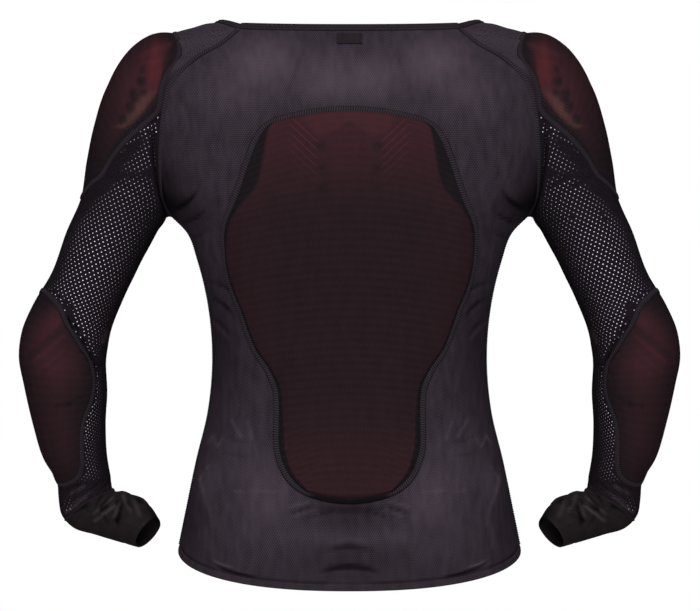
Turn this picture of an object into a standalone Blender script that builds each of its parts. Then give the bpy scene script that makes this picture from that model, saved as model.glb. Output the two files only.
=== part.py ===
"""Motorcycle body armour: a worn, hollow stretch shirt with a back protector, shoulder and elbow pads.

Metres, +Z up. The back faces -Y, the wearer's right is +X, and the origin is on the shoulder line.
The cloth is one welded layout of quads, cut into the sewn panels, so that panels that meet share
points and normals. Each panel is then a thin wall, parted from its neighbours at the seams.
"""

from typing import NamedTuple

import bpy
import numpy as np

# Walls and gaps
KNIT_WALL = 0.0012
MESH_WALL = 0.0016
CUFF_WALL = 0.0014
HEM_HEIGHT = 0.016
HEM_LAYERS = 2.0
SEAM_GAP = 0.0003
LAY_GAP = 0.0005

# Neck binding: a folded strip on the neck edge
BINDING_WIDTH = 0.0068
BINDING_THICKNESS = 0.0026
BINDING_SHOULDER = 0.7

# Armour: pads under the caps, and the protector in the back pocket
CAP_LIFT = 0.0025
PAD_EDGE = 0.0025
PAD_MIDDLE = 0.0080
PAD_MARGIN_COLUMNS = 2
PROTECTOR_EDGE = 0.0040
PROTECTOR_MIDDLE = 0.0100
PROTECTOR_COLUMNS = 14

# Neck label
LABEL_WIDTH = 0.026
LABEL_HEIGHT = 0.011
LABEL_THICKNESS = 0.0010
LABEL_TOP_LEVEL = 15.75

# Layout of the torso: levels 0 to 8 run from the hem to the underarm, 8 to 16 on to the neck
UNDERARM = 8
NECK = 16
SQUARENESS = 2.3
BACK_COLUMNS = 20
FRONT_COLUMNS = 14
LOWER_ROWS = 15
RAGLAN_STEPS = 12

# Layout of the sleeve: columns run round it from the back edge of the armour, rings run down it
COLUMNS = 30
ARMOUR_COLUMNS = 18
NECK_COLUMNS = (6, 12)
YOKE_TURN = 3.8
YOKE_FALL = 0.12
CUFF_END = 22


class SideLevel(NamedTuple):
    """A level below the underarm: the side seam, and the middle of the back and of the front."""

    half_width: float
    side_z: float
    back_y: float
    back_z: float
    front_y: float
    front_z: float


class SeamLevel(NamedTuple):
    """A level above the underarm: the raglan seam, the panel's middle, and the yoke's width there."""

    seam_x: float
    seam_y: float
    seam_z: float
    centre_y: float
    centre_z: float
    yoke_width: float


class NeckPoint(NamedTuple):
    """A point of the yoke's neck edge, and the yoke's width there."""

    x: float
    y: float
    z: float
    yoke_width: float


class SleeveRing(NamedTuple):
    """A ring of the sleeve: its outer and inner points in the view from behind, and its depth.

    bow moves the front and back of the ring along the sleeve, tilt moves the front on and the back
    up. The armour lies between two angles, measured from the outer point towards the front.
    """

    outer_x: float
    outer_z: float
    inner_x: float
    inner_z: float
    bow: float
    centre_y: float
    front_depth: float
    back_depth: float
    tilt: float
    armour_back: float
    armour_front: float


class SeamLine(NamedTuple):
    """A seam round the sleeve, as a ring number, with how far it dips in the middle of the armour."""

    ring: float
    dip: float
    rows_above: int


class Fold(NamedTuple):
    """A soft trough between two places of the sleeve, each a column and a ring."""

    start_column: float
    start_ring: float
    end_column: float
    end_ring: float
    half_width: float
    depth: float


class PocketRow(NamedTuple):
    """A row across the back pocket: its middle, how far its ends fall below that, and half widths."""

    z: float
    end_fall: float
    pocket: float
    protector: float


SIDE_LEVELS = (
    SideLevel(0.1810, -0.5445, -0.106, -0.579, 0.098, -0.554),
    SideLevel(0.1725, -0.503, -0.107, -0.524, 0.099, -0.508),
    SideLevel(0.1615, -0.450, -0.101, -0.463, 0.098, -0.453),
    SideLevel(0.1495, -0.400, -0.092, -0.407, 0.096, -0.402),
    SideLevel(0.1445, -0.345, -0.087, -0.349, 0.096, -0.346),
    SideLevel(0.1485, -0.290, -0.092, -0.292, 0.102, -0.290),
    SideLevel(0.1600, -0.240, -0.101, -0.241, 0.110, -0.240),
    SideLevel(0.1710, -0.210, -0.106, -0.207, 0.114, -0.208),
    SideLevel(0.1880, -0.1925, -0.108, -0.188, 0.115, -0.191),
)
BACK_SEAM = (
    SeamLevel(0.196, -0.025, -0.174, -0.110, -0.170, 0.005),
    SeamLevel(0.197, -0.042, -0.154, -0.111, -0.152, 0.005),
    SeamLevel(0.196, -0.060, -0.120, -0.111, -0.120, 0.005),
    SeamLevel(0.192, -0.070, -0.086, -0.107, -0.088, 0.005),
    SeamLevel(0.184, -0.074, -0.056, -0.100, -0.062, 0.010),
    SeamLevel(0.163, -0.074, -0.033, -0.090, -0.038, 0.019),
    SeamLevel(0.131, -0.067, -0.013, -0.079, -0.016, 0.048),
    SeamLevel(0.116, -0.061, 0.0005, -0.072, -0.0025, 0.066),
)
FRONT_SEAM = (
    SeamLevel(0.195, 0.026, -0.176, 0.116, -0.173, 0.005),
    SeamLevel(0.195, 0.044, -0.157, 0.116, -0.158, 0.005),
    SeamLevel(0.191, 0.060, -0.125, 0.114, -0.138, 0.005),
    SeamLevel(0.184, 0.069, -0.093, 0.110, -0.120, 0.006),
    SeamLevel(0.174, 0.071, -0.068, 0.105, -0.106, 0.012),
    SeamLevel(0.156, 0.068, -0.048, 0.100, -0.095, 0.026),
    SeamLevel(0.135, 0.060, -0.032, 0.096, -0.086, 0.046),
    SeamLevel(0.122, 0.052, -0.022, 0.093, -0.080, 0.062),
)
NECK_POINTS = (
    NeckPoint(0.116, -0.061, 0.0005, 0.066),
    NeckPoint(0.134, -0.036, 0.0085, 0.050),
    NeckPoint(0.143, -0.004, 0.0115, 0.042),
    NeckPoint(0.138, 0.028, 0.000, 0.048),
    NeckPoint(0.122, 0.052, -0.022, 0.062),
)
SLEEVE_RINGS = (
    SleeveRing(0.2085, 0.0012, 0.1948, -0.1945, 0.0085, 0.000, 0.067, 0.071, 0.000, -90, 90),
    SleeveRing(0.2300, -0.0132, 0.1966, -0.1985, 0.010, 0.000, 0.066, 0.070, 0.000, -90, 90),
    SleeveRing(0.2546, -0.0541, 0.2030, -0.2072, 0.006, 0.000, 0.060, 0.064, 0.000, -82, 82),
    SleeveRing(0.2675, -0.0943, 0.2072, -0.2150, 0.003, 0.000, 0.056, 0.059, 0.000, -71, 71),
    SleeveRing(0.2760, -0.1325, 0.2115, -0.2230, 0.000, 0.000, 0.052, 0.055, 0.000, -61, 61),
    SleeveRing(0.2836, -0.1707, 0.2178, -0.2343, 0.000, 0.000, 0.049, 0.051, 0.000, -58, 58),
    SleeveRing(0.3000, -0.2099, 0.2295, -0.2586, 0.000, -0.003, 0.046, 0.048, 0.000, -60, 50),
    SleeveRing(0.3150, -0.2523, 0.2412, -0.2841, 0.000, -0.006, 0.045, 0.047, 0.000, -68, 32),
    SleeveRing(0.3312, -0.2809, 0.2496, -0.3053, 0.000, -0.009, 0.045, 0.047, 0.000, -77, 24),
    SleeveRing(0.3435, -0.3138, 0.2549, -0.3286, 0.000, -0.012, 0.045, 0.048, 0.000, -112, 36),
    SleeveRing(0.3465, -0.3403, 0.2571, -0.3530, 0.000, -0.012, 0.045, 0.048, 0.000, -139, 40),
    SleeveRing(0.3415, -0.3699, 0.2560, -0.3784, 0.000, -0.010, 0.044, 0.046, 0.000, -137, 38),
    SleeveRing(0.3325, -0.4123, 0.2581, -0.4123, 0.000, -0.005, 0.041, 0.042, 0.000, -116, 22),
    SleeveRing(0.3225, -0.4484, 0.2571, -0.4452, 0.000, 0.000, 0.037, 0.038, 0.000, -107, 14),
    SleeveRing(0.3111, -0.4717, 0.2539, -0.4664, 0.000, 0.004, 0.033, 0.034, 0.000, -93, 2),
    SleeveRing(0.3090, -0.4897, 0.2496, -0.4812, 0.000, 0.006, 0.031, 0.032, 0.000, -80, 20),
    SleeveRing(0.3058, -0.5088, 0.2465, -0.4828, 0.000, 0.007, 0.030, 0.031, 0.000, -80, 20),
    SleeveRing(0.2942, -0.5221, 0.2401, -0.4839, 0.000, 0.008, 0.029, 0.030, 0.000, -80, 20),
    SleeveRing(0.2698, -0.5305, 0.2306, -0.4871, 0.000, 0.009, 0.028, 0.028, 0.003, -80, 20),
    SleeveRing(0.2475, -0.5374, 0.2157, -0.4940, 0.000, 0.010, 0.027, 0.027, 0.005, -80, 20),
    SleeveRing(0.2253, -0.5438, 0.2019, -0.5109, 0.000, 0.010, 0.026, 0.026, 0.0075, -80, 20),
)
RAGLAN = SeamLine(0.0, 0.0, 0)
YOKE_EDGE = SeamLine(1.0, 0.0, 1)
SHOULDER_CAP_END = SeamLine(6.5, 0.55, 7)
ELBOW = SeamLine(9.95, -0.35, 3)
ELBOW_CAP_END = SeamLine(15.75, 0.55, 6)
CUFF_SEAM = SeamLine(17.85, 0.0, 2)
CUFF_EDGE = SeamLine(CUFF_END, 0.0, 7)
SEAM_LINES = (RAGLAN, YOKE_EDGE, SHOULDER_CAP_END, ELBOW, ELBOW_CAP_END, CUFF_SEAM, CUFF_EDGE)
CUFF_SEAM_SLANT = 0.55
CUFF_FOLDS = (
    Fold(25.0, 17.3, 29.0, 19.2, 0.0075, 0.0045),
    Fold(24.0, 18.4, 28.0, 19.9, 0.0065, 0.0035),
    Fold(23.5, 18.6, 26.5, 20.8, 0.0065, 0.0030),
    Fold(27.5, 20.3, 30.0, 20.6, 0.0060, 0.0025),
    Fold(26.8, 16.9, 30.0, 17.9, 0.0070, 0.0030),
    Fold(20.0, 18.0, 23.0, 19.6, 0.0070, 0.0035),
    Fold(14.5, 17.6, 18.0, 18.6, 0.0070, 0.0030),
)
POCKET_ROWS = (
    PocketRow(-0.0866, 0.0124, 0.0780, 0.0700),
    PocketRow(-0.0930, 0.0130, 0.0885, 0.0790),
    PocketRow(-0.1080, 0.0100, 0.0965, 0.0825),
    PocketRow(-0.1300, 0.0070, 0.1045, 0.0850),
    PocketRow(-0.1620, 0.0045, 0.1145, 0.0930),
    PocketRow(-0.1800, 0.0035, 0.1215, 0.1100),
    PocketRow(-0.1890, 0.0028, 0.1252, 0.1165),
    PocketRow(-0.2000, 0.0020, 0.1285, 0.1215),
    PocketRow(-0.2300, 0.0000, 0.1290, 0.1235),
    PocketRow(-0.2480, 0.0000, 0.1272, 0.1217),
    PocketRow(-0.2700, 0.0000, 0.1215, 0.1160),
    PocketRow(-0.2910, 0.0000, 0.1130, 0.1075),
    PocketRow(-0.3110, 0.0000, 0.1062, 0.1007),
    PocketRow(-0.3300, 0.0000, 0.0990, 0.0935),
    PocketRow(-0.3560, 0.0000, 0.0830, 0.0760),
    PocketRow(-0.3720, 0.0000, 0.0765, 0.0685),
    PocketRow(-0.3950, 0.0000, 0.0747, 0.0660),
    PocketRow(-0.4130, -0.0005, 0.0750, 0.0650),
    PocketRow(-0.4310, -0.0010, 0.0750, 0.0640),
    PocketRow(-0.4580, -0.0040, 0.0690, 0.0585),
    PocketRow(-0.4800, -0.0065, 0.0530, 0.0420),
    PocketRow(-0.4865, -0.0075, 0.0424, 0.0340),
)


def through(points, where):
    """Points of the smooth curve through a row of points, at whole and part numbers along the row."""
    points = np.asarray(points, float)
    steps = np.diff(points, axis=0)
    spans = np.linalg.norm(steps, axis=1)[:, None]
    slopes = steps / spans
    inner = (spans[:-1] * slopes[1:] + spans[1:] * slopes[:-1]) / (spans[:-1] + spans[1:])
    tangents = np.concatenate([slopes[:1], inner, slopes[-1:]])
    where = np.asarray(where, float)
    first = np.clip(where.astype(int), 0, len(points) - 2)
    t = (where - first)[:, None]
    start, end = points[first], points[first + 1]
    leave, arrive = tangents[first] * spans[first], tangents[first + 1] * spans[first]
    curve = (2 * t**3 - 3 * t**2 + 1) * start + (3 * t**2 - 2 * t**3) * end
    return curve + (t**3 - 2 * t**2 + t) * leave + (t**3 - t**2) * arrive


def unit(vectors):
    """The same directions with length 1."""
    return vectors / np.linalg.norm(vectors, axis=-1, keepdims=True)


def swell(share):
    """1 in the middle of a span and 0 at its ends, flat in between; share runs from -1 to 1."""
    return 1 - np.asarray(share) ** 4


class Torso:
    """The back or the front as a smooth surface over the levels, from its seam and its middle."""

    def __init__(self, seam, middle):
        side = [(row.half_width, 0.0, row.side_z) for row in SIDE_LEVELS]
        self.side = side
        self.raglan = side[-1:] + [(row.seam_x, row.seam_y, row.seam_z) for row in seam]
        self.middle = middle + [(row.centre_y, row.centre_z) for row in seam]
        self.yoke_widths = [seam[0].yoke_width] + [row.yoke_width for row in seam]

    def edges(self, levels):
        """Where the panel ends at each level: the side seam, then the raglan seam."""
        below = through(self.side, np.minimum(levels, UNDERARM))
        above = through(self.raglan, np.maximum(levels - UNDERARM, 0))
        return np.where(levels[:, None] <= UNDERARM, below, above)

    def yoke_width(self, levels):
        """How wide the yoke is where it meets this panel's raglan seam."""
        return np.interp(levels - UNDERARM, range(len(self.yoke_widths)), self.yoke_widths)

    def points(self, levels, shares):
        """Points at these levels, each at a share of the half width, from -1 to 1."""
        edges = self.edges(levels)
        middle = through(self.middle, levels)
        start = np.arcsin(np.abs(edges[:, 1] / middle[:, 0]) ** (SQUARENESS / 2))
        turn = np.arccos(np.cos(start) * np.abs(shares) ** (SQUARENESS / 2))
        rise = (np.sin(turn) - np.sin(start)) / (1 - np.sin(start))
        y = middle[:, 0] * np.sin(turn) ** (2 / SQUARENESS)
        z = edges[:, 2] + (middle[:, 1] - edges[:, 2]) * rise
        return np.stack([edges[:, 0] * shares, y, z], axis=1)

    def row(self, level, columns):
        """One row from the left seam to the right, with its points spread evenly by angle."""
        levels = np.full(columns + 1, float(level))
        edge = self.edges(levels)[0]
        middle = through(self.middle, levels)[0]
        start = np.arcsin(abs(edge[1] / middle[0]) ** (SQUARENESS / 2))
        across = np.linspace(-1, 1, columns + 1)
        turn = start + (np.pi / 2 - start) * (1 - np.abs(across))
        shares = np.sign(across) * (np.cos(turn) / np.cos(start)) ** (2 / SQUARENESS)
        return self.points(levels, shares)

    def levels_at(self, heights):
        """The levels at which the panel's middle has these heights."""
        fine = np.linspace(0, NECK, 400)
        return np.interp(heights, through(self.middle, fine)[:, 1], fine)


BACK = Torso(BACK_SEAM, [(row.back_y, row.back_z) for row in SIDE_LEVELS])
FRONT = Torso(FRONT_SEAM, [(row.front_y, row.front_z) for row in SIDE_LEVELS])


def raglan_levels(steps):
    """The levels of the raglan seam at these steps up from the underarm."""
    return UNDERARM + np.asarray(steps) * (NECK - UNDERARM) / RAGLAN_STEPS


def torso_levels():
    """The levels of the torso's rows: the hem's fold, then even rows, then the raglan steps."""
    fold = BACK.levels_at(SIDE_LEVELS[0].back_z + HEM_HEIGHT)
    lower = np.linspace(fold, UNDERARM, LOWER_ROWS)
    return np.concatenate([[0.0], lower, raglan_levels(range(1, RAGLAN_STEPS + 1))])


def raglan_loop():
    """The right sleeve's first ring, point by point round the armhole and neck, with yoke widths."""
    neck_start, neck_end = NECK_COLUMNS
    armour_steps = RAGLAN_STEPS - neck_start
    upper_back = raglan_levels(range(armour_steps, RAGLAN_STEPS))
    lower_back = raglan_levels(range(armour_steps + 1))
    front = raglan_levels(range(RAGLAN_STEPS, 0, -1))
    neck_stops = np.linspace(0, len(NECK_POINTS) - 1, neck_end - neck_start + 1)[:-1]
    neck = through([(p.x, p.y, p.z) for p in NECK_POINTS], neck_stops)
    neck_widths = np.interp(neck_stops, range(len(NECK_POINTS)), [p.yoke_width for p in NECK_POINTS])
    loop = [BACK.edges(upper_back), neck, FRONT.edges(front), BACK.edges(lower_back)]
    widths = [BACK.yoke_width(upper_back), neck_widths]
    widths += [FRONT.yoke_width(front), BACK.yoke_width(lower_back)]
    return np.concatenate(loop), np.concatenate(widths)


def column_angles(ring):
    """The angle of each column on a ring: the armour's columns, then those of the inner side."""
    columns = np.arange(COLUMNS + 1)
    stops = [ring.armour_back, ring.armour_front, ring.armour_back + 360]
    return np.radians(np.interp(columns, [0, ARMOUR_COLUMNS, COLUMNS], stops))


def ring_points(ring):
    """One ring of the right sleeve."""
    outer, inner = np.array([ring.outer_x, ring.outer_z]), np.array([ring.inner_x, ring.inner_z])
    half = (outer - inner) / 2
    along = np.array([half[1], -half[0]]) / np.linalg.norm(half)
    angle = column_angles(ring)
    sine = np.sin(angle)
    flat = (outer + inner) / 2 + np.outer(np.cos(angle), half)
    flat = flat + np.outer(ring.bow * sine**2 + ring.tilt * sine, along)
    depth = ring.centre_y + np.where(sine > 0, ring.front_depth, ring.back_depth) * sine
    return np.stack([flat[:, 0], depth, flat[:, 1]], axis=1)


def sleeve_rings():
    """Every ring of the right sleeve, from the raglan seam to the cuff's edge."""
    loop, widths = raglan_loop()
    lean = np.stack([np.ones(COLUMNS + 1), -YOKE_TURN * loop[:, 1], np.full(COLUMNS + 1, -YOKE_FALL)], 1)
    yoke = loop + unit(lean) * widths[:, None]
    return np.array([loop, yoke] + [ring_points(ring) for ring in SLEEVE_RINGS])


def armour_share(column):
    """Where a column lies across the armour, from -1 at its back edge to 1 at its front edge."""
    return np.clip(2 * column / ARMOUR_COLUMNS - 1, -1, 1)


def seam_ring(line, column):
    """The ring number of a seam line at a column."""
    ring = line.ring + line.dip * (1 - armour_share(column) ** 2)
    if line is CUFF_SEAM:
        ring += CUFF_SEAM_SLANT * np.cos(column_angles(SLEEVE_RINGS[-1])[column])
    return ring


def row_numbers():
    """The row of the sleeve's layout on which each seam line lies."""
    return np.cumsum([line.rows_above for line in SEAM_LINES])


def grid_normals(grid):
    """Normals of a grid of points, along its columns' direction crossed with its rows'."""
    return unit(np.cross(np.gradient(grid, axis=1), np.gradient(grid, axis=0)))


def sleeve_grid():
    """Points of the right sleeve, row by row down it, with the caps raised and the cuff creased."""
    rings = sleeve_rings()
    rows = row_numbers()
    where = np.empty((rows[-1] + 1, COLUMNS + 1))
    for column in range(COLUMNS + 1):
        stops = [seam_ring(line, column) for line in SEAM_LINES]
        where[:, column] = np.interp(np.arange(rows[-1] + 1), rows, stops)
    base = np.stack([through(rings[:, c], where[:, c]) for c in range(COLUMNS + 1)], axis=1)
    wrapped = np.concatenate([base[:, -2:-1], base, base[:, 1:2]], axis=1)
    normals = -grid_normals(wrapped)[:, 1:-1]
    move = np.zeros(base.shape[:2])
    for top, bottom in ((rows[1], rows[2]), (rows[3], rows[4])):
        down = swell(np.linspace(-1, 1, bottom - top + 1))
        across = swell(np.linspace(-1, 1, ARMOUR_COLUMNS + 1))
        move[top : bottom + 1, : ARMOUR_COLUMNS + 1] += CAP_LIFT * np.outer(down, across)
    for fold in CUFF_FOLDS:
        ends = np.array([[fold.start_column, fold.start_ring], [fold.end_column, fold.end_ring]])
        start, end = (sleeve_place(rings, column, ring) for column, ring in ends)
        reach = np.clip((base - start) @ (end - start) / ((end - start) @ (end - start)), 0, 1)
        away = np.linalg.norm(base - start - reach[..., None] * (end - start), axis=2)
        move -= fold.depth * np.clip(1 - (away / fold.half_width) ** 2, 0, 1) ** 2
    return base + normals * move[..., None]


def sleeve_place(rings, column, ring):
    """The point of the plain sleeve at a column and a ring number."""
    near = through(rings[:, int(column)], [ring])[0]
    far = through(rings[:, min(int(column) + 1, COLUMNS)], [ring])[0]
    return near + (far - near) * (column - int(column))


def boundary(quads):
    """The edges that only one quad has, in that quad's direction."""
    edges = {(quad[i], quad[(i + 1) % 4]) for quad in quads for i in range(4)}
    return [(a, b) for a, b in edges if (b, a) not in edges]


def shell(quads, outer, inner):
    """A closed wall between two faces with one layout of quads, as points and triangles."""
    count = len(outer)
    triangles = []
    for a, b, c, d in quads:
        triangles += [(a, b, c), (a, c, d)]
        triangles += [(a + count, c + count, b + count), (a + count, d + count, c + count)]
    for a, b in boundary(quads):
        triangles += [(b, a, a + count), (b, a + count, b + count)]
    return np.concatenate([outer, inner]), triangles


def grid_quads(rows, columns, first=0):
    """The quads of a grid of points, facing along its columns' direction crossed with its rows'."""
    at = first + np.arange((rows + 1) * (columns + 1)).reshape(rows + 1, columns + 1)
    corners = (at[:-1, :-1], at[:-1, 1:], at[1:, 1:], at[1:, :-1])
    return np.stack([corner.ravel() for corner in corners], axis=1).tolist()


class Cloth:
    """All the cloth as one welded layout of quads, each in a named panel."""

    def __init__(self):
        self.numbers = {}
        self.points = []
        self.panels = {}
        self.walls = {}

    def number(self, point):
        """The number of the welded point at this place."""
        key = tuple(np.round(point, 6) + 0.0)
        if key not in self.numbers:
            self.numbers[key] = len(self.points)
            self.points.append(point)
        return self.numbers[key]

    def add(self, panel, grid, wall):
        """Adds a grid to a panel; wall is its thickness, one number or one for each row."""
        rows, columns = grid.shape[0] - 1, grid.shape[1] - 1
        numbers = [self.number(point) for point in grid.reshape(-1, 3)]
        walls = np.broadcast_to(np.reshape(wall, (-1, 1)), grid.shape[:2]).ravel()
        quads = [[numbers[i] for i in quad] for quad in grid_quads(rows, columns)]
        self.panels.setdefault(panel, []).extend(quads)
        self.walls.setdefault(panel, {}).update(zip(numbers, walls))
        return np.reshape(numbers, grid.shape[:2])

    def finish(self):
        """Works out the normals, once every panel is in."""
        self.points = np.array(self.points)
        self.normals = np.zeros_like(self.points)
        for quads in self.panels.values():
            a, b, c, d = (self.points[[quad[i] for quad in quads]] for i in range(4))
            faces = np.cross(c - a, d - b)
            for corner in range(4):
                np.add.at(self.normals, [quad[corner] for quad in quads], faces)
        self.normals = unit(self.normals)

    def inset(self, panel):
        """How far each point on a panel's edge draws in, so that the seam's gap is even."""
        inward = {}
        for a, b in boundary(self.panels[panel]):
            along = self.points[b] - self.points[a]
            for end in (a, b):
                inward.setdefault(end, []).append(unit(np.cross(self.normals[end], along)))
        return {end: SEAM_GAP / 2 * (m + n) / (1 + m @ n) for end, (m, n) in inward.items()}

    def wall(self, panel):
        """The panel as a closed wall, as points and triangles."""
        used = sorted(self.walls[panel])
        local = {number: i for i, number in enumerate(used)}
        outer = self.points[used]
        for number, move in self.inset(panel).items():
            outer[local[number]] += move
        walls = np.array([self.walls[panel][number] for number in used])[:, None]
        quads = [[local[number] for number in quad] for quad in self.panels[panel]]
        return shell(quads, outer, outer - self.normals[used] * walls)


def lay_out_cloth():
    """Every cloth panel but the left sleeve's, which are mirrored, with the rows of points kept."""
    cloth = Cloth()
    levels = torso_levels()
    back = np.array([BACK.row(level, BACK_COLUMNS) for level in levels])
    front = np.array([FRONT.row(level, FRONT_COLUMNS)[::-1] for level in levels])
    torso_wall = np.where(np.arange(len(levels)) < 2, HEM_LAYERS * KNIT_WALL, KNIT_WALL)
    sleeve = sleeve_grid()
    _, yoke, cap, elbow, elbow_cap, cuff, end = row_numbers()
    split = ARMOUR_COLUMNS
    pieces = (
        ("shoulder_yoke", slice(0, yoke + 1), slice(0, split + 1), KNIT_WALL),
        ("shoulder_cap", slice(yoke, cap + 1), slice(0, split + 1), KNIT_WALL),
        ("upper_sleeve", slice(0, cap + 1), slice(split, COLUMNS + 1), MESH_WALL),
        ("upper_sleeve", slice(cap, elbow + 1), slice(0, COLUMNS + 1), MESH_WALL),
        ("elbow_cap", slice(elbow, elbow_cap + 1), slice(0, split + 1), KNIT_WALL),
        ("forearm_sleeve", slice(elbow, elbow_cap + 1), slice(split, COLUMNS + 1), MESH_WALL),
        ("forearm_sleeve", slice(elbow_cap, cuff + 1), slice(0, COLUMNS + 1), MESH_WALL),
        ("cuff", slice(cuff, end + 1), slice(0, COLUMNS + 1), CUFF_WALL),
    )
    rows = {
        "back": cloth.add("back_panel", back, torso_wall)[-1],
        "front": cloth.add("front_panel", front, torso_wall)[-1],
    }
    sleeves = {"right": {}, "left": {}}
    for name, down, round_columns, wall in pieces:
        grid = sleeve[down, round_columns]
        sleeves["right"][name] = cloth.add(f"{name}_right", grid[:, ::-1], wall)[:, ::-1]
        sleeves["left"][name] = cloth.add(f"{name}_left", grid * (-1, 1, 1), wall)
    start, stop = NECK_COLUMNS
    rows["right"] = sleeves["right"]["shoulder_yoke"][0, start : stop + 1]
    rows["left"] = sleeves["left"]["shoulder_yoke"][0, start : stop + 1]
    cloth.finish()
    return cloth, rows, sleeves


def pad(cloth, numbers, wall):
    """A pad just under a cap: thin at its edges, thick in its middle, inside the cap's own points."""
    inside = numbers[1:-1, PAD_MARGIN_COLUMNS:-PAD_MARGIN_COLUMNS]
    rows, columns = inside.shape[0] - 1, inside.shape[1] - 1
    down = swell(np.linspace(-1, 1, rows + 1))
    across = swell(np.linspace(-1, 1, columns + 1))
    thickness = PAD_EDGE + (PAD_MIDDLE - PAD_EDGE) * np.outer(down, across)
    points, normals = cloth.points[inside.ravel()], cloth.normals[inside.ravel()]
    outer = points - normals * (wall + SEAM_GAP)
    inner = outer - normals * thickness.reshape(-1, 1)
    return grid_quads(rows, columns), outer, inner


def neck_binding(cloth, rows):
    """The binding: a ring of six-sided sections on the neck edge of the back, yokes and front."""
    edges = (rows["back"][::-1], rows["left"], rows["front"][::-1], rows["right"][::-1])
    ring = np.concatenate([edge[:-1] for edge in edges])
    points, normals = cloth.points[ring], cloth.normals[ring]
    ahead = unit(np.roll(points, -1, axis=0) - points)
    tangent = unit(ahead + np.roll(ahead, 1, axis=0))
    away = unit(np.cross(tangent, normals))
    outside = (BINDING_THICKNESS - KNIT_WALL) / 2
    inside = outside - BINDING_THICKNESS
    profile = (
        (0.0, outside),
        (BINDING_SHOULDER, outside),
        (1.0, outside - BINDING_THICKNESS / 4),
        (1.0, inside + BINDING_THICKNESS / 4),
        (BINDING_SHOULDER, inside),
        (0.0, inside),
    )
    sides = [points + away * (SEAM_GAP / 2 + BINDING_WIDTH * up) + normals * out for up, out in profile]
    count, stations = len(profile), len(ring)
    triangles = []
    for i in range(stations):
        j = (i + 1) % stations
        for side in range(count):
            after = (side + 1) % count
            a, b = i * count + side, j * count + side
            c, d = j * count + after, i * count + after
            triangles += [(a, c, b), (a, d, c)]
    return np.stack(sides, axis=1).reshape(-1, 3), triangles


def pocket_base():
    """Points of the back panel under the pocket, with normals: rows up it, columns across it."""
    across = np.linspace(-1, 1, PROTECTOR_COLUMNS + 1)
    grid = []
    for row in reversed(POCKET_ROWS):
        x = np.concatenate([[-row.pocket], across * row.protector, [row.pocket]])
        heights = row.z - row.end_fall * (x / row.pocket) ** 2
        levels = BACK.levels_at(heights)
        grid.append(BACK.points(levels, x / BACK.edges(levels)[:, 0]))
    grid = np.array(grid)
    return grid, grid_normals(grid)


def back_armour():
    """The pocket's wall and the protector that it holds, raised from the back panel's points."""
    base, normals = pocket_base()
    rows, columns = base.shape[0] - 1, base.shape[1] - 1
    down = swell(np.linspace(-1, 1, rows - 1))
    across = swell(np.linspace(-1, 1, columns - 1))
    thickness = PROTECTOR_EDGE + (PROTECTOR_MIDDLE - PROTECTOR_EDGE) * np.outer(down, across)
    held = base[1:-1, 1:-1] + normals[1:-1, 1:-1] * (LAY_GAP + SEAM_GAP)
    protector_top = held + normals[1:-1, 1:-1] * thickness[..., None]
    rise = np.full(base.shape[:2], LAY_GAP)
    rise[1:-1, 1:-1] = LAY_GAP + thickness + 2 * SEAM_GAP
    inner = base + normals * rise[..., None]
    outer = inner + normals * KNIT_WALL
    pocket = (grid_quads(rows, columns), outer.reshape(-1, 3), inner.reshape(-1, 3))
    protector = (grid_quads(rows - 2, columns - 2), protector_top.reshape(-1, 3), held.reshape(-1, 3))
    return pocket, protector


def neck_label():
    """The bare label below the neck binding, on the back panel's points."""
    top = BACK.points(np.array([LABEL_TOP_LEVEL]), np.zeros(1))[0, 2]
    grid = []
    for height in (top - LABEL_HEIGHT, top - LABEL_HEIGHT / 2, top):
        x = np.linspace(-LABEL_WIDTH / 2, LABEL_WIDTH / 2, 5)
        levels = BACK.levels_at(np.full(5, height))
        grid.append(BACK.points(levels, x / BACK.edges(levels)[:, 0]))
    grid = np.array(grid)
    normals = grid_normals(grid)
    inner = grid + normals * LAY_GAP
    outer = inner + normals * LABEL_THICKNESS
    return grid_quads(2, 4), outer.reshape(-1, 3), inner.reshape(-1, 3)


def finish_material(name, colour, roughness):
    """A plain cloth or foam finish."""
    material = bpy.data.materials.new(name)
    material.use_nodes = True
    shader = material.node_tree.nodes["Principled BSDF"]
    shader.inputs["Base Color"].default_value = (*colour, 1.0)
    shader.inputs["Roughness"].default_value = roughness
    shader.inputs["Metallic"].default_value = 0.0
    return material


def make(name, points, triangles, material):
    """One named object from points and triangles, shaded smooth but for its rims."""
    mesh = bpy.data.meshes.new(name)
    mesh.from_pydata(points.tolist(), [], [list(map(int, triangle)) for triangle in triangles])
    mesh.shade_smooth()
    mesh.set_sharp_from_angle(angle=0.9)
    mesh.materials.append(material)
    bpy.context.collection.objects.link(bpy.data.objects.new(name, mesh))


def clear_scene():
    """Removes whatever the scene holds."""
    for item in list(bpy.data.objects):
        bpy.data.objects.remove(item, do_unlink=True)


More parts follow.
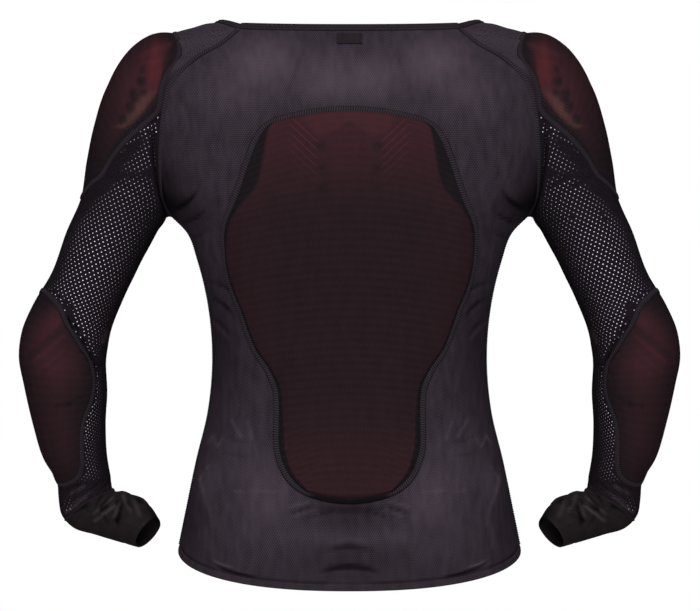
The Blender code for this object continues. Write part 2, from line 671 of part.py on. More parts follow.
def main():
    clear_scene()
    colours = {
        "torso": ("warp knit", (0.048, 0.040, 0.048), 0.8),
        "stretch": ("stretch knit", (0.014, 0.011, 0.013), 0.8),
        "mesh": ("spacer mesh", (0.040, 0.034, 0.040), 0.85),
        "cuff": ("cuff knit", (0.026, 0.024, 0.026), 0.85),
        "pad": ("moulded foam", (0.110, 0.018, 0.018), 0.7),
        "trim": ("woven tape", (0.010, 0.010, 0.011), 0.75),
    }
    materials = {key: finish_material(*value) for key, value in colours.items()}
    panel_finish = {
        "back_panel": "torso",
        "front_panel": "torso",
        "shoulder_yoke": "mesh",
        "shoulder_cap": "stretch",
        "upper_sleeve": "mesh",
        "elbow_cap": "stretch",
        "forearm_sleeve": "mesh",
        "cuff": "cuff",
    }
    cloth, rows, sleeves = lay_out_cloth()
    for panel in cloth.panels:
        kind = panel.removesuffix("_right").removesuffix("_left")
        make(panel, *cloth.wall(panel), materials[panel_finish[kind]])
    for side, numbers in sleeves.items():
        for place in ("shoulder", "elbow"):
            quads, outer, inner = pad(cloth, numbers[f"{place}_cap"], KNIT_WALL)
            turned = quads if side == "left" else [quad[::-1] for quad in quads]
            make(f"{place}_pad_{side}", *shell(turned, outer, inner), materials["pad"])
    make("neck_binding", *neck_binding(cloth, rows), materials["trim"])
    pocket, protector = back_armour()
    make("back_pocket", *shell(*pocket), materials["stretch"])
    make("back_protector", *shell(*protector), materials["pad"])
    make("neck_label", *shell(*neck_label()), materials["trim"])


main()
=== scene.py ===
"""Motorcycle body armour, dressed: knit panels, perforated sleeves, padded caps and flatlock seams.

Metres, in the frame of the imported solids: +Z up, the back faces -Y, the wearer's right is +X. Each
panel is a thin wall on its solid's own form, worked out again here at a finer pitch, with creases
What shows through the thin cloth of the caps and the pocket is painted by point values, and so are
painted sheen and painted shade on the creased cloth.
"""

import logging
import math
from dataclasses import dataclass, field
from enum import Enum
from typing import NamedTuple, Sequence

import bpy
import numpy as np
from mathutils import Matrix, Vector
from mathutils.bvhtree import BVHTree
from mathutils.kdtree import KDTree


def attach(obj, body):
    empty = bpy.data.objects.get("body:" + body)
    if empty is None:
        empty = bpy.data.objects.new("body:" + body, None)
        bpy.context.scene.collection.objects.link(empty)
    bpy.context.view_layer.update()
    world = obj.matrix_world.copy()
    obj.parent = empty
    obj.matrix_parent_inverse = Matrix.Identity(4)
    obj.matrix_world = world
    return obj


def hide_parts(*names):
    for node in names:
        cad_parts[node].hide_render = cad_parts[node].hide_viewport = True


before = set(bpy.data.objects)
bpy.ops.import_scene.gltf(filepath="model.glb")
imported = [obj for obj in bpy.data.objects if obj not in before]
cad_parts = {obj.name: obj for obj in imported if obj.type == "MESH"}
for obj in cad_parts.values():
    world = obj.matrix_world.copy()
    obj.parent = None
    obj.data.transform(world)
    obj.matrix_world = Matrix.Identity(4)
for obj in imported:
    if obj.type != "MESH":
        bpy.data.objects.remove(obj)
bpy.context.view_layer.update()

LOG = logging.getLogger("body_armour")
Array = np.ndarray
Piece = bpy.types.Object
MM = 0.001
SIDES = ("right", "left")

# Walls, as the solids have them
KNIT_WALL = 1.2 * MM
MESH_WALL = 1.6 * MM
CUFF_WALL = 1.4 * MM
LAY_GAP = 0.5 * MM
SEAM_GAP = 0.3 * MM
# How far up the hem's stitch line runs
HEM_HEIGHT = 7.5 * MM

# Layout of the torso and the sleeve, as the solids have it
UNDERARM = 8
NECK = 16
SQUARENESS = 2.3
RAGLAN_STEPS = 12
COLUMNS = 30
ARMOUR_COLUMNS = 18
NECK_COLUMNS = (6, 12)
YOKE_TURN = 3.8
YOKE_FALL = 0.12
CAP_LIFT = 2.5 * MM
CUFF_SEAM_SLANT = 0.55
# How far the shoulder's top lies above or below the rings, in mm, by the distance out
SHOULDER_SET_OUT = (104, 118, 128, 150, 168, 190, 206, 220)
SHOULDER_SET_RISE = (0.0, 2.0, 2.6, 0.0, -3.2, -5.6, -4.2, 0.0)
# How much of the cap's lift is missing where the shoulder faces up
SHOULDER_TOP_EASE = 0.9
# How many rings lower the elbow seam runs on the inner arm, and how much more towards its sides
ELBOW_INNER_DROP = 1.25
ELBOW_SIDE_DROP = 0.8

# How steep the sides of a crease are, and how soon it fades to its ends
CREASE_STEEPNESS = 1.6
CREASE_TAPER = 0.7

# Where the camera stands: straight behind the shirt, level with its middle
CAMERA_DISTANCE = 3.0
CAMERA_HEIGHT = -0.2867
CAMERA_ASIDE = 0.0005
FRAME_WIDTH = 0.742
SENSOR_WIDTH = 36.0


class SideLevel(NamedTuple):
    """A level below the underarm: the side seam, and the middle of the back and of the front."""

    half_width: float
    side_z: float
    back_y: float
    back_z: float
    front_y: float
    front_z: float


class SeamLevel(NamedTuple):
    """A level above the underarm: the raglan seam, the panel's middle, and the yoke's width there."""

    seam_x: float
    seam_y: float
    seam_z: float
    centre_y: float
    centre_z: float
    yoke_width: float


class NeckPoint(NamedTuple):
    """A point of the yoke's neck edge, and the yoke's width there."""

    x: float
    y: float
    z: float
    yoke_width: float


class SleeveRing(NamedTuple):
    """A ring of the sleeve: outer and inner points seen from behind, depths, and the armour's angles."""

    outer_x: float
    outer_z: float
    inner_x: float
    inner_z: float
    bow: float
    centre_y: float
    front_depth: float
    back_depth: float
    tilt: float
    armour_back: float
    armour_front: float


class SeamLine(NamedTuple):
    """A seam round the sleeve: its ring number, its dip over the armour, and the rows above it."""

    ring: float
    dip: float
    rows_above: int


class CuffFold(NamedTuple):
    """A deep trough of the cuff between two places, each a column and a ring."""

    start_column: float
    start_ring: float
    end_column: float
    end_ring: float
    half_width: float
    depth: float


class PocketRow(NamedTuple):
    """A row across the back pocket: its middle, how far its ends fall below that, and half widths."""

    z: float
    end_fall: float
    pocket: float
    protector: float


class Crease(NamedTuple):
    """A crease seen square on: its ends in mm out from the middle and up from the shoulder line.

    sag bows it sideways, half_width and depth are its section; a negative depth is a ridge.
    """

    start_out: float
    start_up: float
    end_out: float
    end_up: float
    sag: float
    half_width: float
    depth: float


class Patch(NamedTuple):
    """A soft oval seen square on, in mm: its middle, its half sizes, its turn in degrees, its strength."""

    out: float
    up: float
    half_out: float
    half_up: float
    turn: float
    strength: float


class Stroke(NamedTuple):
    """A soft straight stroke seen square on, in mm: its ends, its half width, its strength."""

    start_out: float
    start_up: float
    end_out: float
    end_up: float
    half_width: float
    strength: float


class Cut(NamedTuple):
    """The flat cut of a piece: its width and length in metres, its area, and the pieces sewn on it."""

    width: float
    length: float
    area: float
    sewn_on: tuple[str, ...] = ()


class CapMarks(NamedTuple):
    """What shows of a pad through its cap: red parts and lines, relief in mm, the pad's inner edge as
    (down, out) knots, how far a pale band runs along it, a fan of ribs as its centre, radii and pitch,
    and parts of a brighter red.
    """

    red: tuple[Patch, ...]
    red_lines: tuple[Stroke, ...]
    relief: tuple[Stroke, ...]
    edge: tuple[tuple[float, float], ...] = ((0, 0), (1000, 0))
    pale_span: tuple[float, float] = (0, 0)
    fan: tuple[float, float, float, float, float] = (0, 0, 0, 0, 1)
    flush: tuple[Patch, ...] = ()


def table(kind: type, *rows: tuple) -> tuple:
    """The rows of a table, each with the named columns of its kind."""
    return tuple(kind(*row) for row in rows)


SIDE_LEVELS = table(
    SideLevel,
    (0.181, -0.5445, -0.106, -0.579, 0.098, -0.554),
    (0.1725, -0.503, -0.107, -0.524, 0.099, -0.508),
    (0.1615, -0.45, -0.101, -0.463, 0.098, -0.453),
    (0.1495, -0.4, -0.092, -0.407, 0.096, -0.402),
    (0.1445, -0.345, -0.087, -0.349, 0.096, -0.346),
    (0.1485, -0.29, -0.092, -0.292, 0.102, -0.29),
    (0.16, -0.24, -0.101, -0.241, 0.11, -0.24),
    (0.171, -0.21, -0.106, -0.207, 0.114, -0.208),
    (0.188, -0.1925, -0.108, -0.188, 0.115, -0.191),
)
BACK_SEAM = table(
    SeamLevel,
    (0.196, -0.025, -0.174, -0.11, -0.17, 0.005),
    (0.197, -0.042, -0.154, -0.111, -0.152, 0.005),
    (0.196, -0.06, -0.12, -0.111, -0.12, 0.005),
    (0.192, -0.07, -0.086, -0.107, -0.088, 0.005),
    (0.184, -0.074, -0.056, -0.1, -0.062, 0.01),
    (0.163, -0.074, -0.033, -0.09, -0.038, 0.019),
    (0.131, -0.067, -0.013, -0.079, -0.016, 0.048),
    (0.116, -0.061, 0.0005, -0.072, -0.0025, 0.066),
)
FRONT_SEAM = table(
    SeamLevel,
    (0.195, 0.026, -0.176, 0.116, -0.173, 0.005),
    (0.195, 0.044, -0.157, 0.116, -0.158, 0.005),
    (0.191, 0.06, -0.125, 0.114, -0.138, 0.005),
    (0.184, 0.069, -0.093, 0.11, -0.12, 0.006),
    (0.174, 0.071, -0.068, 0.105, -0.106, 0.012),
    (0.156, 0.068, -0.048, 0.1, -0.095, 0.026),
    (0.135, 0.06, -0.032, 0.096, -0.086, 0.046),
    (0.122, 0.052, -0.022, 0.093, -0.08, 0.062),
)
NECK_POINTS = table(
    NeckPoint,
    (0.116, -0.061, 0.0005, 0.066),
    (0.134, -0.036, 0.0085, 0.05),
    (0.143, -0.004, 0.0115, 0.042),
    (0.138, 0.028, 0, 0.048),
    (0.122, 0.052, -0.022, 0.062),
)
SLEEVE_RINGS = table(
    SleeveRing,
    (0.2085, 0.0012, 0.1948, -0.1945, 0.0085, 0, 0.067, 0.071, 0, -90, 90),
    (0.23, -0.0132, 0.1966, -0.1985, 0.01, 0, 0.066, 0.07, 0, -90, 90),
    (0.2546, -0.0541, 0.203, -0.2072, 0.006, 0, 0.06, 0.064, 0, -82, 82),
    (0.2675, -0.0943, 0.2072, -0.215, 0.003, 0, 0.056, 0.059, 0, -71, 71),
    (0.276, -0.1325, 0.2115, -0.223, 0, 0, 0.052, 0.055, 0, -61, 61),
    (0.2836, -0.1707, 0.2178, -0.2343, 0, 0, 0.049, 0.051, 0, -58, 58),
    (0.3, -0.2099, 0.2295, -0.2586, 0, -0.003, 0.046, 0.048, 0, -60, 50),
    (0.315, -0.2523, 0.2412, -0.2841, 0, -0.006, 0.045, 0.047, 0, -68, 32),
    (0.3312, -0.2809, 0.2496, -0.3053, 0, -0.009, 0.045, 0.047, 0, -77, 24),
    (0.3435, -0.3138, 0.2549, -0.3286, 0, -0.012, 0.045, 0.048, 0, -112, 36),
    (0.3465, -0.3403, 0.2571, -0.353, 0, -0.012, 0.045, 0.048, 0, -139, 40),
    (0.3415, -0.3699, 0.256, -0.3784, 0, -0.01, 0.044, 0.046, 0, -137, 38),
    (0.3325, -0.4123, 0.2581, -0.4123, 0, -0.005, 0.041, 0.042, 0, -116, 22),
    (0.3225, -0.4484, 0.2571, -0.4452, 0, 0, 0.037, 0.038, 0, -107, 14),
    (0.3111, -0.4717, 0.2539, -0.4664, 0, 0.004, 0.033, 0.034, 0, -93, 2),
    (0.309, -0.4897, 0.2496, -0.4812, 0, 0.006, 0.031, 0.032, 0, -80, 20),
    (0.3058, -0.5088, 0.2465, -0.4828, 0, 0.007, 0.03, 0.031, 0, -80, 20),
    (0.2942, -0.5221, 0.2401, -0.4839, 0, 0.008, 0.029, 0.03, 0, -80, 20),
    (0.2698, -0.5305, 0.2306, -0.4871, 0, 0.009, 0.028, 0.028, 0.003, -80, 20),
    (0.2475, -0.5374, 0.2157, -0.494, 0, 0.01, 0.027, 0.027, 0.005, -80, 20),
    (0.2253, -0.5438, 0.2019, -0.5109, 0, 0.01, 0.026, 0.026, 0.0075, -80, 20),
)
RAGLAN = SeamLine(0, 0, 0)
YOKE_EDGE = SeamLine(1, 0, 14)
SHOULDER_CAP_END = SeamLine(5.85, 1.2, 56)
ELBOW = SeamLine(9.95, -0.35, 20)
ELBOW_CAP_END = SeamLine(15.75, 0.55, 48)
CUFF_SEAM = SeamLine(17.85, 0, 14)
CUFF_EDGE = SeamLine(22, 0, 36)
SEAM_LINES = (RAGLAN, YOKE_EDGE, SHOULDER_CAP_END, ELBOW, ELBOW_CAP_END, CUFF_SEAM, CUFF_EDGE)
CUFF_FOLDS = table(
    CuffFold,
    (25, 17.3, 29, 19.2, 0.0075, 0.0045),
    (24, 18.4, 28, 19.9, 0.0065, 0.0035),
    (23.5, 18.6, 26.5, 20.8, 0.0065, 0.003),
    (27.5, 20.3, 30, 20.6, 0.006, 0.0025),
    (26.8, 16.9, 30, 17.9, 0.007, 0.003),
    (20, 18, 23, 19.6, 0.007, 0.0035),
    (14.5, 17.6, 18, 18.6, 0.007, 0.003),
)
POCKET_ROWS = table(
    PocketRow,
    (-0.4865, -0.0075, 0.0424, 0.034),
    (-0.48, -0.0065, 0.053, 0.042),
    (-0.458, -0.004, 0.069, 0.0585),
    (-0.431, -0.001, 0.075, 0.064),
    (-0.413, -0.0005, 0.075, 0.065),
    (-0.395, 0, 0.0747, 0.066),
    (-0.372, 0, 0.0765, 0.0685),
    (-0.356, 0, 0.083, 0.076),
    (-0.33, 0, 0.099, 0.0935),
    (-0.311, 0, 0.1062, 0.1007),
    (-0.291, 0, 0.113, 0.1075),
    (-0.27, 0, 0.1215, 0.116),
    (-0.248, 0, 0.1272, 0.1217),
    (-0.23, 0, 0.129, 0.1235),
    (-0.2, 0.002, 0.1285, 0.1215),
    (-0.189, 0.0028, 0.1252, 0.1165),
    (-0.18, 0.0035, 0.1215, 0.11),
    (-0.162, 0.0045, 0.1145, 0.093),
    (-0.13, 0.007, 0.1045, 0.085),
    (-0.108, 0.01, 0.0965, 0.0825),
    (-0.093, 0.013, 0.0885, 0.079),
    (-0.0866, 0.0124, 0.078, 0.07),
)

# The flat cuts; stretch knit worn tight covers about 15 percent more than its cut
CUTS = {
    "back_panel": Cut(0.4, 0.59, 0.208, ("torso_seams", "hem_stitches")),
    "front_panel": Cut(0.4, 0.53, 0.185),
    "back_pocket": Cut(0.245, 0.4, 0.0736),
    "neck_binding": Cut(0.011, 0.7, 0.0077, ("neck_stitches",)),
    "neck_label": Cut(0.026, 0.011, 0.000286),
}
SIDED_CUTS = {
    "upper_sleeve": Cut(0.29, 0.26, 0.0465, ("upper_sleeve_{side}_net", "seams_{side}")),
    "forearm_sleeve": Cut(0.2, 0.21, 0.0227, ("forearm_sleeve_{side}_net",)),
    "shoulder_yoke": Cut(0.1, 0.16, 0.0089, ("shoulder_yoke_{side}_net",)),
    "shoulder_cap": Cut(0.2, 0.19, 0.0291),
    "elbow_cap": Cut(0.13, 0.2, 0.0192),
    "cuff": Cut(0.19, 0.075, 0.0109),
}
# Creases of the back, measured on one half and mirrored
BACK_CREASES = table(
    Crease,
    (-30, -549, 30, -549, 6, 6.4, 1.9), (-36, -572, 36, -572, 8, 6.4, 2.9),
    (34, -496, 70, -509, -1, 2.8, 1.5), (12, -501, 50, -514, -1, 2.8, 1.4), (40, -4, 66, -70, 4, 8, 1),
    (147, -561, 100, -575, 2, 3.2, 2.2), (159, -460, 151, -488, 4, 3.6, -1),
    (158, -464, 142, -463, -2, 2.6, 1.2), (150, -496, 142, -516, 3, 3.6, -0.7),
    (152, -262, 118, -280, -4, 4.5, 1.6), (150, -278, 122, -302, -4, 4.5, 1.8),
    (147, -300, 126, -322, -3, 4, 1.3), (146, -418, 100, -432, 4, 4, 1.1), (149, -436, 96, -446, 4, 4, 1),
    (190, -186, 160, -160, 5, 5.5, 2), (186, -200, 150, -182, 5, 5, 1.8),
    (178, -214, 146, -204, 4, 4.5, 1.2), (186, -60, 168, -96, -4, 6, 0.9),
    (150, -553, 120, -565, 2, 3, -1.4), (100, -28, 62, -34, 2, 5, 0.6),
)
# Like creases for the front, which the photograph doesn't show
FRONT_CREASES = table(
    Crease,
    (0, -430, 46, -436, 3, 5, 1.5), (0, -462, 60, -470, 4, 5.5, 1.4),
    (150, -262, 108, -284, -5, 4.5, 1.5), (148, -286, 96, -318, -6, 5, 1.4),
    (146, -312, 116, -334, -4, 4, 1), (188, -186, 150, -150, 6, 5.5, 2),
    (184, -202, 142, -178, 5, 5, 1.6), (172, -222, 134, -208, 4, 4.5, 1.1),
    (30, -96, 58, -126, 4, 5, 0.9), (0, -516, 38, -521, 2, 5, 1.4), (158, -420, 120, -438, 4, 4.5, 1.1),
)
# Creases of the sleeve's back and front: at the armhole, inside the elbow, and above the cuff
SLEEVE_CREASES = table(
    Crease,
    (204, -176, 246, -146, 5, 5, 1.8), (208, -192, 262, -150, 6, 5.5, 1.6),
    (214, -206, 240, -190, 3, 4, 1.2), (264, -322, 290, -344, 3, 4, 1.6),
    (257, -350, 280, -362, 2, 4.5, 1.8), (252, -478, 272, -510, 3, 3, 2.2),
    (248, -484, 265, -514, 3, 2.8, 2.2), (258, -470, 280, -500, 3, 3, 2), (275, -476, 305, -488, 2, 3, 2),
    (280, -488, 304, -502, 2, 3, 2), (268, -498, 300, -512, 2, 3, 1.8),
)
# Ridges of the wrinkles above the cuff and on it, which catch the light
SLEEVE_LINES = table(
    Stroke,
    (295, -486, 281, -478, 1.5, 0.55), (301, -506, 279, -490, 1.6, 0.55),
    (290, -494, 272, -484, 1.4, 0.4), (270, -515, 249, -499, 1.5, 0.6), (272, -508, 251, -490, 1.4, 0.6),
    (264, -488, 256, -478, 1.4, 0.4), (262, -326, 256, -312, 1.8, 0.4), (240, -488, 232, -504, 1.8, 0.5),
    (250, -512, 243, -494, 1.5, 0.45), (228, -494, 222, -510, 2, 0.4),
)
CUFF_CREASES = table(
    Crease,
    (241, -486, 248, -520, -2, 2.8, 2.4), (236, -490, 224, -506, 2, 3, 1.9),
    (243, -508, 246, -524, 1, 2.6, 2), (230, -506, 240, -512, 1, 3, 1.4),
    (262, -500, 252, -524, 2, 3, 1.8), (222, -512, 216, -536, 1, 3, 1.2),
    (252, -492, 280, -520, 2, 3, 1.4),
)
# Painted sheen of the back, in patches and along thin lines: partly the stretched knit's own paler tone,
# partly painted highlights where light falls on the upper back and hips and along crease ridges
BACK_SHEEN = table(
    Patch,
    (90, -28, 34, 24, 0, 0.34), (18, -46, 34, 24, 0, 0.3), (126, -62, 36, 26, 0, 0.14),
    (84, -486, 30, 34, 0, 0.2), (100, -524, 40, 34, 0, 0.06), (112, -448, 26, 30, 0, 0.1),
    (148, -474, 10, 22, 8, 0.16), (30, -532, 40, 10, 0, 0.14),
)
BACK_LINES = table(
    Stroke,
    (150, -458, 158, -470, 1.6, 0.18), (158, -470, 156, -484, 1.6, 0.18),
    (156, -484, 148, -503, 1.6, 0.13), (148, -503, 146, -520, 1.6, 0.11),
    (152, -522, 152, -544, 1.6, 0.1), (125, -408, 115, -426, 1.6, 0.2), (108, -410, 103, -428, 1.6, 0.16),
    (150, -432, 145, -425, 1.4, 0.18), (145, -425, 140, -436, 1.4, 0.18),
    (140, -436, 133, -426, 1.4, 0.16), (122, -483.5, 76, -483.5, 1.2, 0.12),
    (43, -495, 63, -500, 1.8, 0.18), (37, -503.5, 57, -509.5, 1.8, 0.16), (0, -581, 22, -582, 2.4, 0.12),
    (0, -534, 18, -538, 2.4, 0.12), (150, -300, 128, -322, 1.4, 0.14),
)
# Where the back lies in shade: below the pocket, by the armholes and down the sides of the waist
BACK_SHADE = table(
    Patch,
    (0, -503, 40, 5, 0, 0.6), (0, -516, 26, 12, 0, 0.22), (0, -556, 60, 26, 0, 0.16),
    (136, -330, 28, 64, 0, 0.4), (194, -166, 16, 32, 0, 0.55), (180, -182, 26, 14, 0, 0.55),
    (168, -520, 17, 46, 0, 0.3),
)
# Small hollows of the protector, which show dark through the pocket
POCKET_HOLLOWS = table(
    Stroke,
    (28, -118, 31, -118, 3.6, 0.3), (28, -140, 31, -140, 3.6, 0.24), (28, -161, 31, -161, 3.6, 0.18),
)
# Where the pocket's seam lies in the pocket's own shade
POCKET_SHADE = (Stroke(0, -497, 36, -492, 9.0, 1.1),)
SHOULDER_MARKS = CapMarks(
    table(
        Patch,
        (214, -44, 30, 50, -15, 0.34), (222, -76, 18, 28, -25, 0.26), (244, -104, 26, 70, -15, 0.3),
        (232, -60, 26, 48, -25, 0.16),
    ),
    table(
        Stroke,
        (189, -10, 205, -14, 4, 0.34), (205, -14, 222, -22, 3.4, 0.24), (200, -27, 213, -28.5, 1.6, 0.22),
        (213, -28.5, 221, -31, 1.6, 0.22), (221, -31, 226, -40, 1.6, 0.16),
        (219.6, -32, 219.6, -38, 3, -0.26), (220.4, -48.5, 220.4, -49.5, 4.9, -0.36),
        (218.6, -60.5, 218.6, -61.5, 3.6, -0.34), (229, -62, 228, -67, 5.4, -0.34),
        (233, -75, 232, -78, 4.9, -0.32), (240.3, -88, 240.3, -90, 4.2, -0.3),
    ),
    table(
        Stroke,
        (191, -9, 216, -17, 2, 0.6), (200, -27, 221, -31, 2, 0.5), (247, -108, 262, -130, 2.4, 0.4),
    ),
    ((0, 184), (11, 188), (19, 195), (28, 198), (40, 198.5), (52, 200), (60, 203), (65, 207), (72, 212),
     (83, 219), (94, 228), (98, 236), (102, 200), (400, 200)),
    (52, 102), (203, -62, 36, 47, 2.6),
    (Patch(204, -26, 10, 20, 0, 0.5), Patch(208, -46, 10, 18, -10, 0.3)),
)
ELBOW_MARKS = CapMarks(
    table(
        Patch,
        (309, -302, 13, 14, 40, 0.5), (326, -322, 15, 22, 30, 0.42), (310, -348, 28, 22, 0, 0.4),
        (314, -372, 32, 80, 0, 0.3), (306, -440, 18, 50, 0, 0.16),
    ),
    table(
        Stroke,
        (337, -339, 303, -309, 4.2, -0.15), (334, -346, 303, -320, 1.8, 0.22),
        (331, -358, 302, -334, 1.5, 0.18), (322, -362, 304, -348, 1.4, 0.12),
        (311, -393, 297, -391, 2.4, -0.12), (297, -391, 286, -384, 2.4, -0.12),
    ),
    table(
        Stroke,
        (334, -346, 303, -320, 2.4, 0.7), (331, -358, 302, -334, 2.2, 0.5),
        (322, -362, 304, -348, 2, 0.3),
    ),
)


def linear(colour: str) -> tuple[float, float, float, float]:
    """Turns an sRGB hex colour into a linear one.

    Args:
        colour: the colour as "#rrggbb".

    Returns:
        Red, green, blue and an alpha of 1.
    """
    parts = [int(colour[i : i + 2], 16) / 255 for i in (1, 3, 5)]
    red, green, blue = (c / 12.92 if c <= 0.04045 else ((c + 0.055) / 1.055) ** 2.4 for c in parts)
    return red, green, blue, 1.0


def unit(vectors: Array) -> Array:
    """The same directions with length 1."""
    return vectors / np.maximum(np.linalg.norm(vectors, axis=-1, keepdims=True), 1e-12)


def smooth(value: Array, low: float, high: float) -> Array:
    """A soft step from 0 at low to 1 at high."""
    share = np.clip((value - low) / (high - low), 0, 1)
    return share * share * (3 - 2 * share)


def swell(share: Array) -> Array:
    """1 in the middle of a span and 0 at its ends, flat in between; share runs from -1 to 1."""
    return 1 - np.asarray(share) ** 4


def through(points: Array, where: Array) -> Array:
    """Points of smooth curves, each through its own row of points.

    Args:
        points: the rows' points, as steps x curves x axes.
        where: whole and part numbers along the rows, as places x curves.

    Returns:
        The curves' points, as places x curves x axes.
    """
    points = np.asarray(points, float)
    steps = np.diff(points, axis=0)
    spans = np.linalg.norm(steps, axis=-1, keepdims=True)
    slopes = steps / spans
    inner = (spans[:-1] * slopes[1:] + spans[1:] * slopes[:-1]) / (spans[:-1] + spans[1:])
    tangents = np.concatenate([slopes[:1], inner, slopes[-1:]])
    first = np.clip(where.astype(int), 0, len(points) - 2)
    at = first[..., None]
    t = (where - first)[..., None]
    start, end = np.take_along_axis(points, at, 0), np.take_along_axis(points, at + 1, 0)
    span = np.take_along_axis(spans, at, 0)
    leave = np.take_along_axis(tangents, at, 0) * span
    arrive = np.take_along_axis(tangents, at + 1, 0) * span
    curve = (2 * t**3 - 3 * t**2 + 1) * start + (3 * t**2 - 2 * t**3) * end
    return curve + (t**3 - 2 * t**2 + t) * leave + (t**3 - t**2) * arrive


def along(points: Sequence, where: Array) -> Array:
    """Points of one smooth curve through a row of points, at whole and part numbers along it."""
    return through(np.asarray(points, float)[:, None], np.asarray(where, float)[:, None])[:, 0]


def run_length(points: Array) -> Array:
    """The distance along a row of points, from its start to each point."""
    steps = np.linalg.norm(np.diff(points, axis=0), axis=-1)
    return np.concatenate([np.zeros((1,) + steps.shape[1:]), np.cumsum(steps, axis=0)])


def spread(at: Array, length: Array, values: Array) -> Array:
    """The values of a row of points at distances along it."""
    return np.stack([np.interp(at, length, values[:, i]) for i in range(3)], axis=1)


def laid_flat(across: Array, up: Array) -> Array:
    """Places on the cloth, from how far across it and how far along it they lie."""
    across, up = np.broadcast_arrays(across, up)
    return np.stack([across, up, np.zeros(up.shape)], axis=-1)


def seen(points: Array) -> tuple[Array, Array]:
    """Where points show square on from behind, or mirrored from the front, in mm.

    Args:
        points: any array of points.

    Returns:
        How far out from the middle, and how far up from the shoulder line.
    """
    nearer = CAMERA_DISTANCE / (CAMERA_DISTANCE - np.abs(points[..., 1]))
    up = (points[..., 2] - CAMERA_HEIGHT) * nearer + CAMERA_HEIGHT
    return np.abs(points[..., 0]) * nearer / MM, up / MM


def press(points: Array, normals: Array, creases: Sequence[Crease], side: float) -> Array:
    """Works out how far creases move points out.

    Args:
        points: the plain surface.
        normals: its outward normals.
        creases: the creases to press in.
        side: -1 for the back, 1 for the front, 0 for both.

    Returns:
        A distance for each point, in metres.
    """
    out, up = seen(points)
    facing = np.abs(normals[..., 1]) if side == 0 else normals[..., 1] * side
    weight = smooth(facing, 0.0, 0.35)
    move = np.zeros(out.shape)
    for crease in creases:
        run = np.array([crease.end_out - crease.start_out, crease.end_up - crease.start_up])
        length = np.linalg.norm(run)
        run = run / length
        from_start = (out - crease.start_out) * run[0] + (up - crease.start_up) * run[1]
        aside = (up - crease.start_up) * run[0] - (out - crease.start_out) * run[1]
        share = np.clip(from_start / length, 0, 1)
        off = (aside - crease.sag * 4 * share * (1 - share)) / crease.half_width
        bend = CREASE_STEEPNESS * off**2
        section = (1 - bend) * np.exp(-bend)
        move -= crease.depth * MM * section * np.sin(np.pi * share) ** CREASE_TAPER
    return move * weight


def paint(points: Array, patches: Sequence[Patch]) -> Array:
    """How strongly soft oval patches cover points, seen square on, from 0 to 1.

    Args:
        points: any array of points.
        patches: the ovals.

    Returns:
        A value for each point.
    """
    out, up = seen(points)
    total = np.zeros(out.shape)
    for patch in patches:
        turn = math.radians(patch.turn)
        across = (out - patch.out) * math.cos(turn) + (up - patch.up) * math.sin(turn)
        rise = (up - patch.up) * math.cos(turn) - (out - patch.out) * math.sin(turn)
        total += patch.strength * np.exp(-((across / patch.half_out) ** 2) - (rise / patch.half_up) ** 2)
    return np.clip(total, 0, 1)


def streaks(points: Array, strokes: Sequence[Stroke]) -> Array:
    """The summed strength of strokes at points, seen square on; negative ones end more sharply.

    Args:
        points: any array of points.
        strokes: the strokes.

    Returns:
        A value for each point.
    """
    out, up = seen(points)
    total = np.zeros(out.shape)
    for stroke in strokes:
        run = np.array([stroke.end_out - stroke.start_out, stroke.end_up - stroke.start_up])
        share = ((out - stroke.start_out) * run[0] + (up - stroke.start_up) * run[1]) / (run @ run)
        share = np.clip(share, 0, 1)
        across, rise = out - stroke.start_out - share * run[0], up - stroke.start_up - share * run[1]
        off = (across**2 + rise**2) / stroke.half_width**2
        total += stroke.strength * np.exp(-(off if stroke.strength > 0 else off**2))
    return total


def grid_numbers(grid: Array) -> Array:
    """The numbers of a grid's points, row by row."""
    return np.arange(grid.shape[0] * grid.shape[1]).reshape(grid.shape[:2])


def grid_faces(at: Array) -> Array:
    """The quads of a grid of point numbers, facing along its columns' direction crossed with its rows'."""
    return np.stack([at[:-1, :-1], at[:-1, 1:], at[1:, 1:], at[1:, :-1]], axis=-1).reshape(-1, 4)


def grid_normals(grid: Array) -> Array:
    """Normals of a grid of points, along its columns' direction crossed with its rows'."""
    return unit(np.cross(np.gradient(grid, axis=1), np.gradient(grid, axis=0)))


def border(quads: Array) -> Array:
    """The edges that only one quad has, in that quad's direction, as pairs of point numbers.

    Args:
        quads: a layout of quads.

    Returns:
        A pair for each edge.
    """
    edges = np.concatenate([quads[:, [i, (i + 1) % 4]] for i in range(4)])
    size = int(quads.max()) + 1
    ahead, back = edges[:, 0] * size + edges[:, 1], edges[:, 1] * size + edges[:, 0]
    return edges[~np.isin(back, ahead)]


def nearest(points: Array, places: Array) -> Array:
    """How far the nearest of some points is from each place.

    Args:
        points: the points to look among.
        places: where to look from.

    Returns:
        A distance for each place.
    """
    tree = KDTree(len(points))
    for number, point in enumerate(points):
        tree.insert(point, number)
    tree.balance()
    return np.array([tree.find(place)[2] for place in places.tolist()])


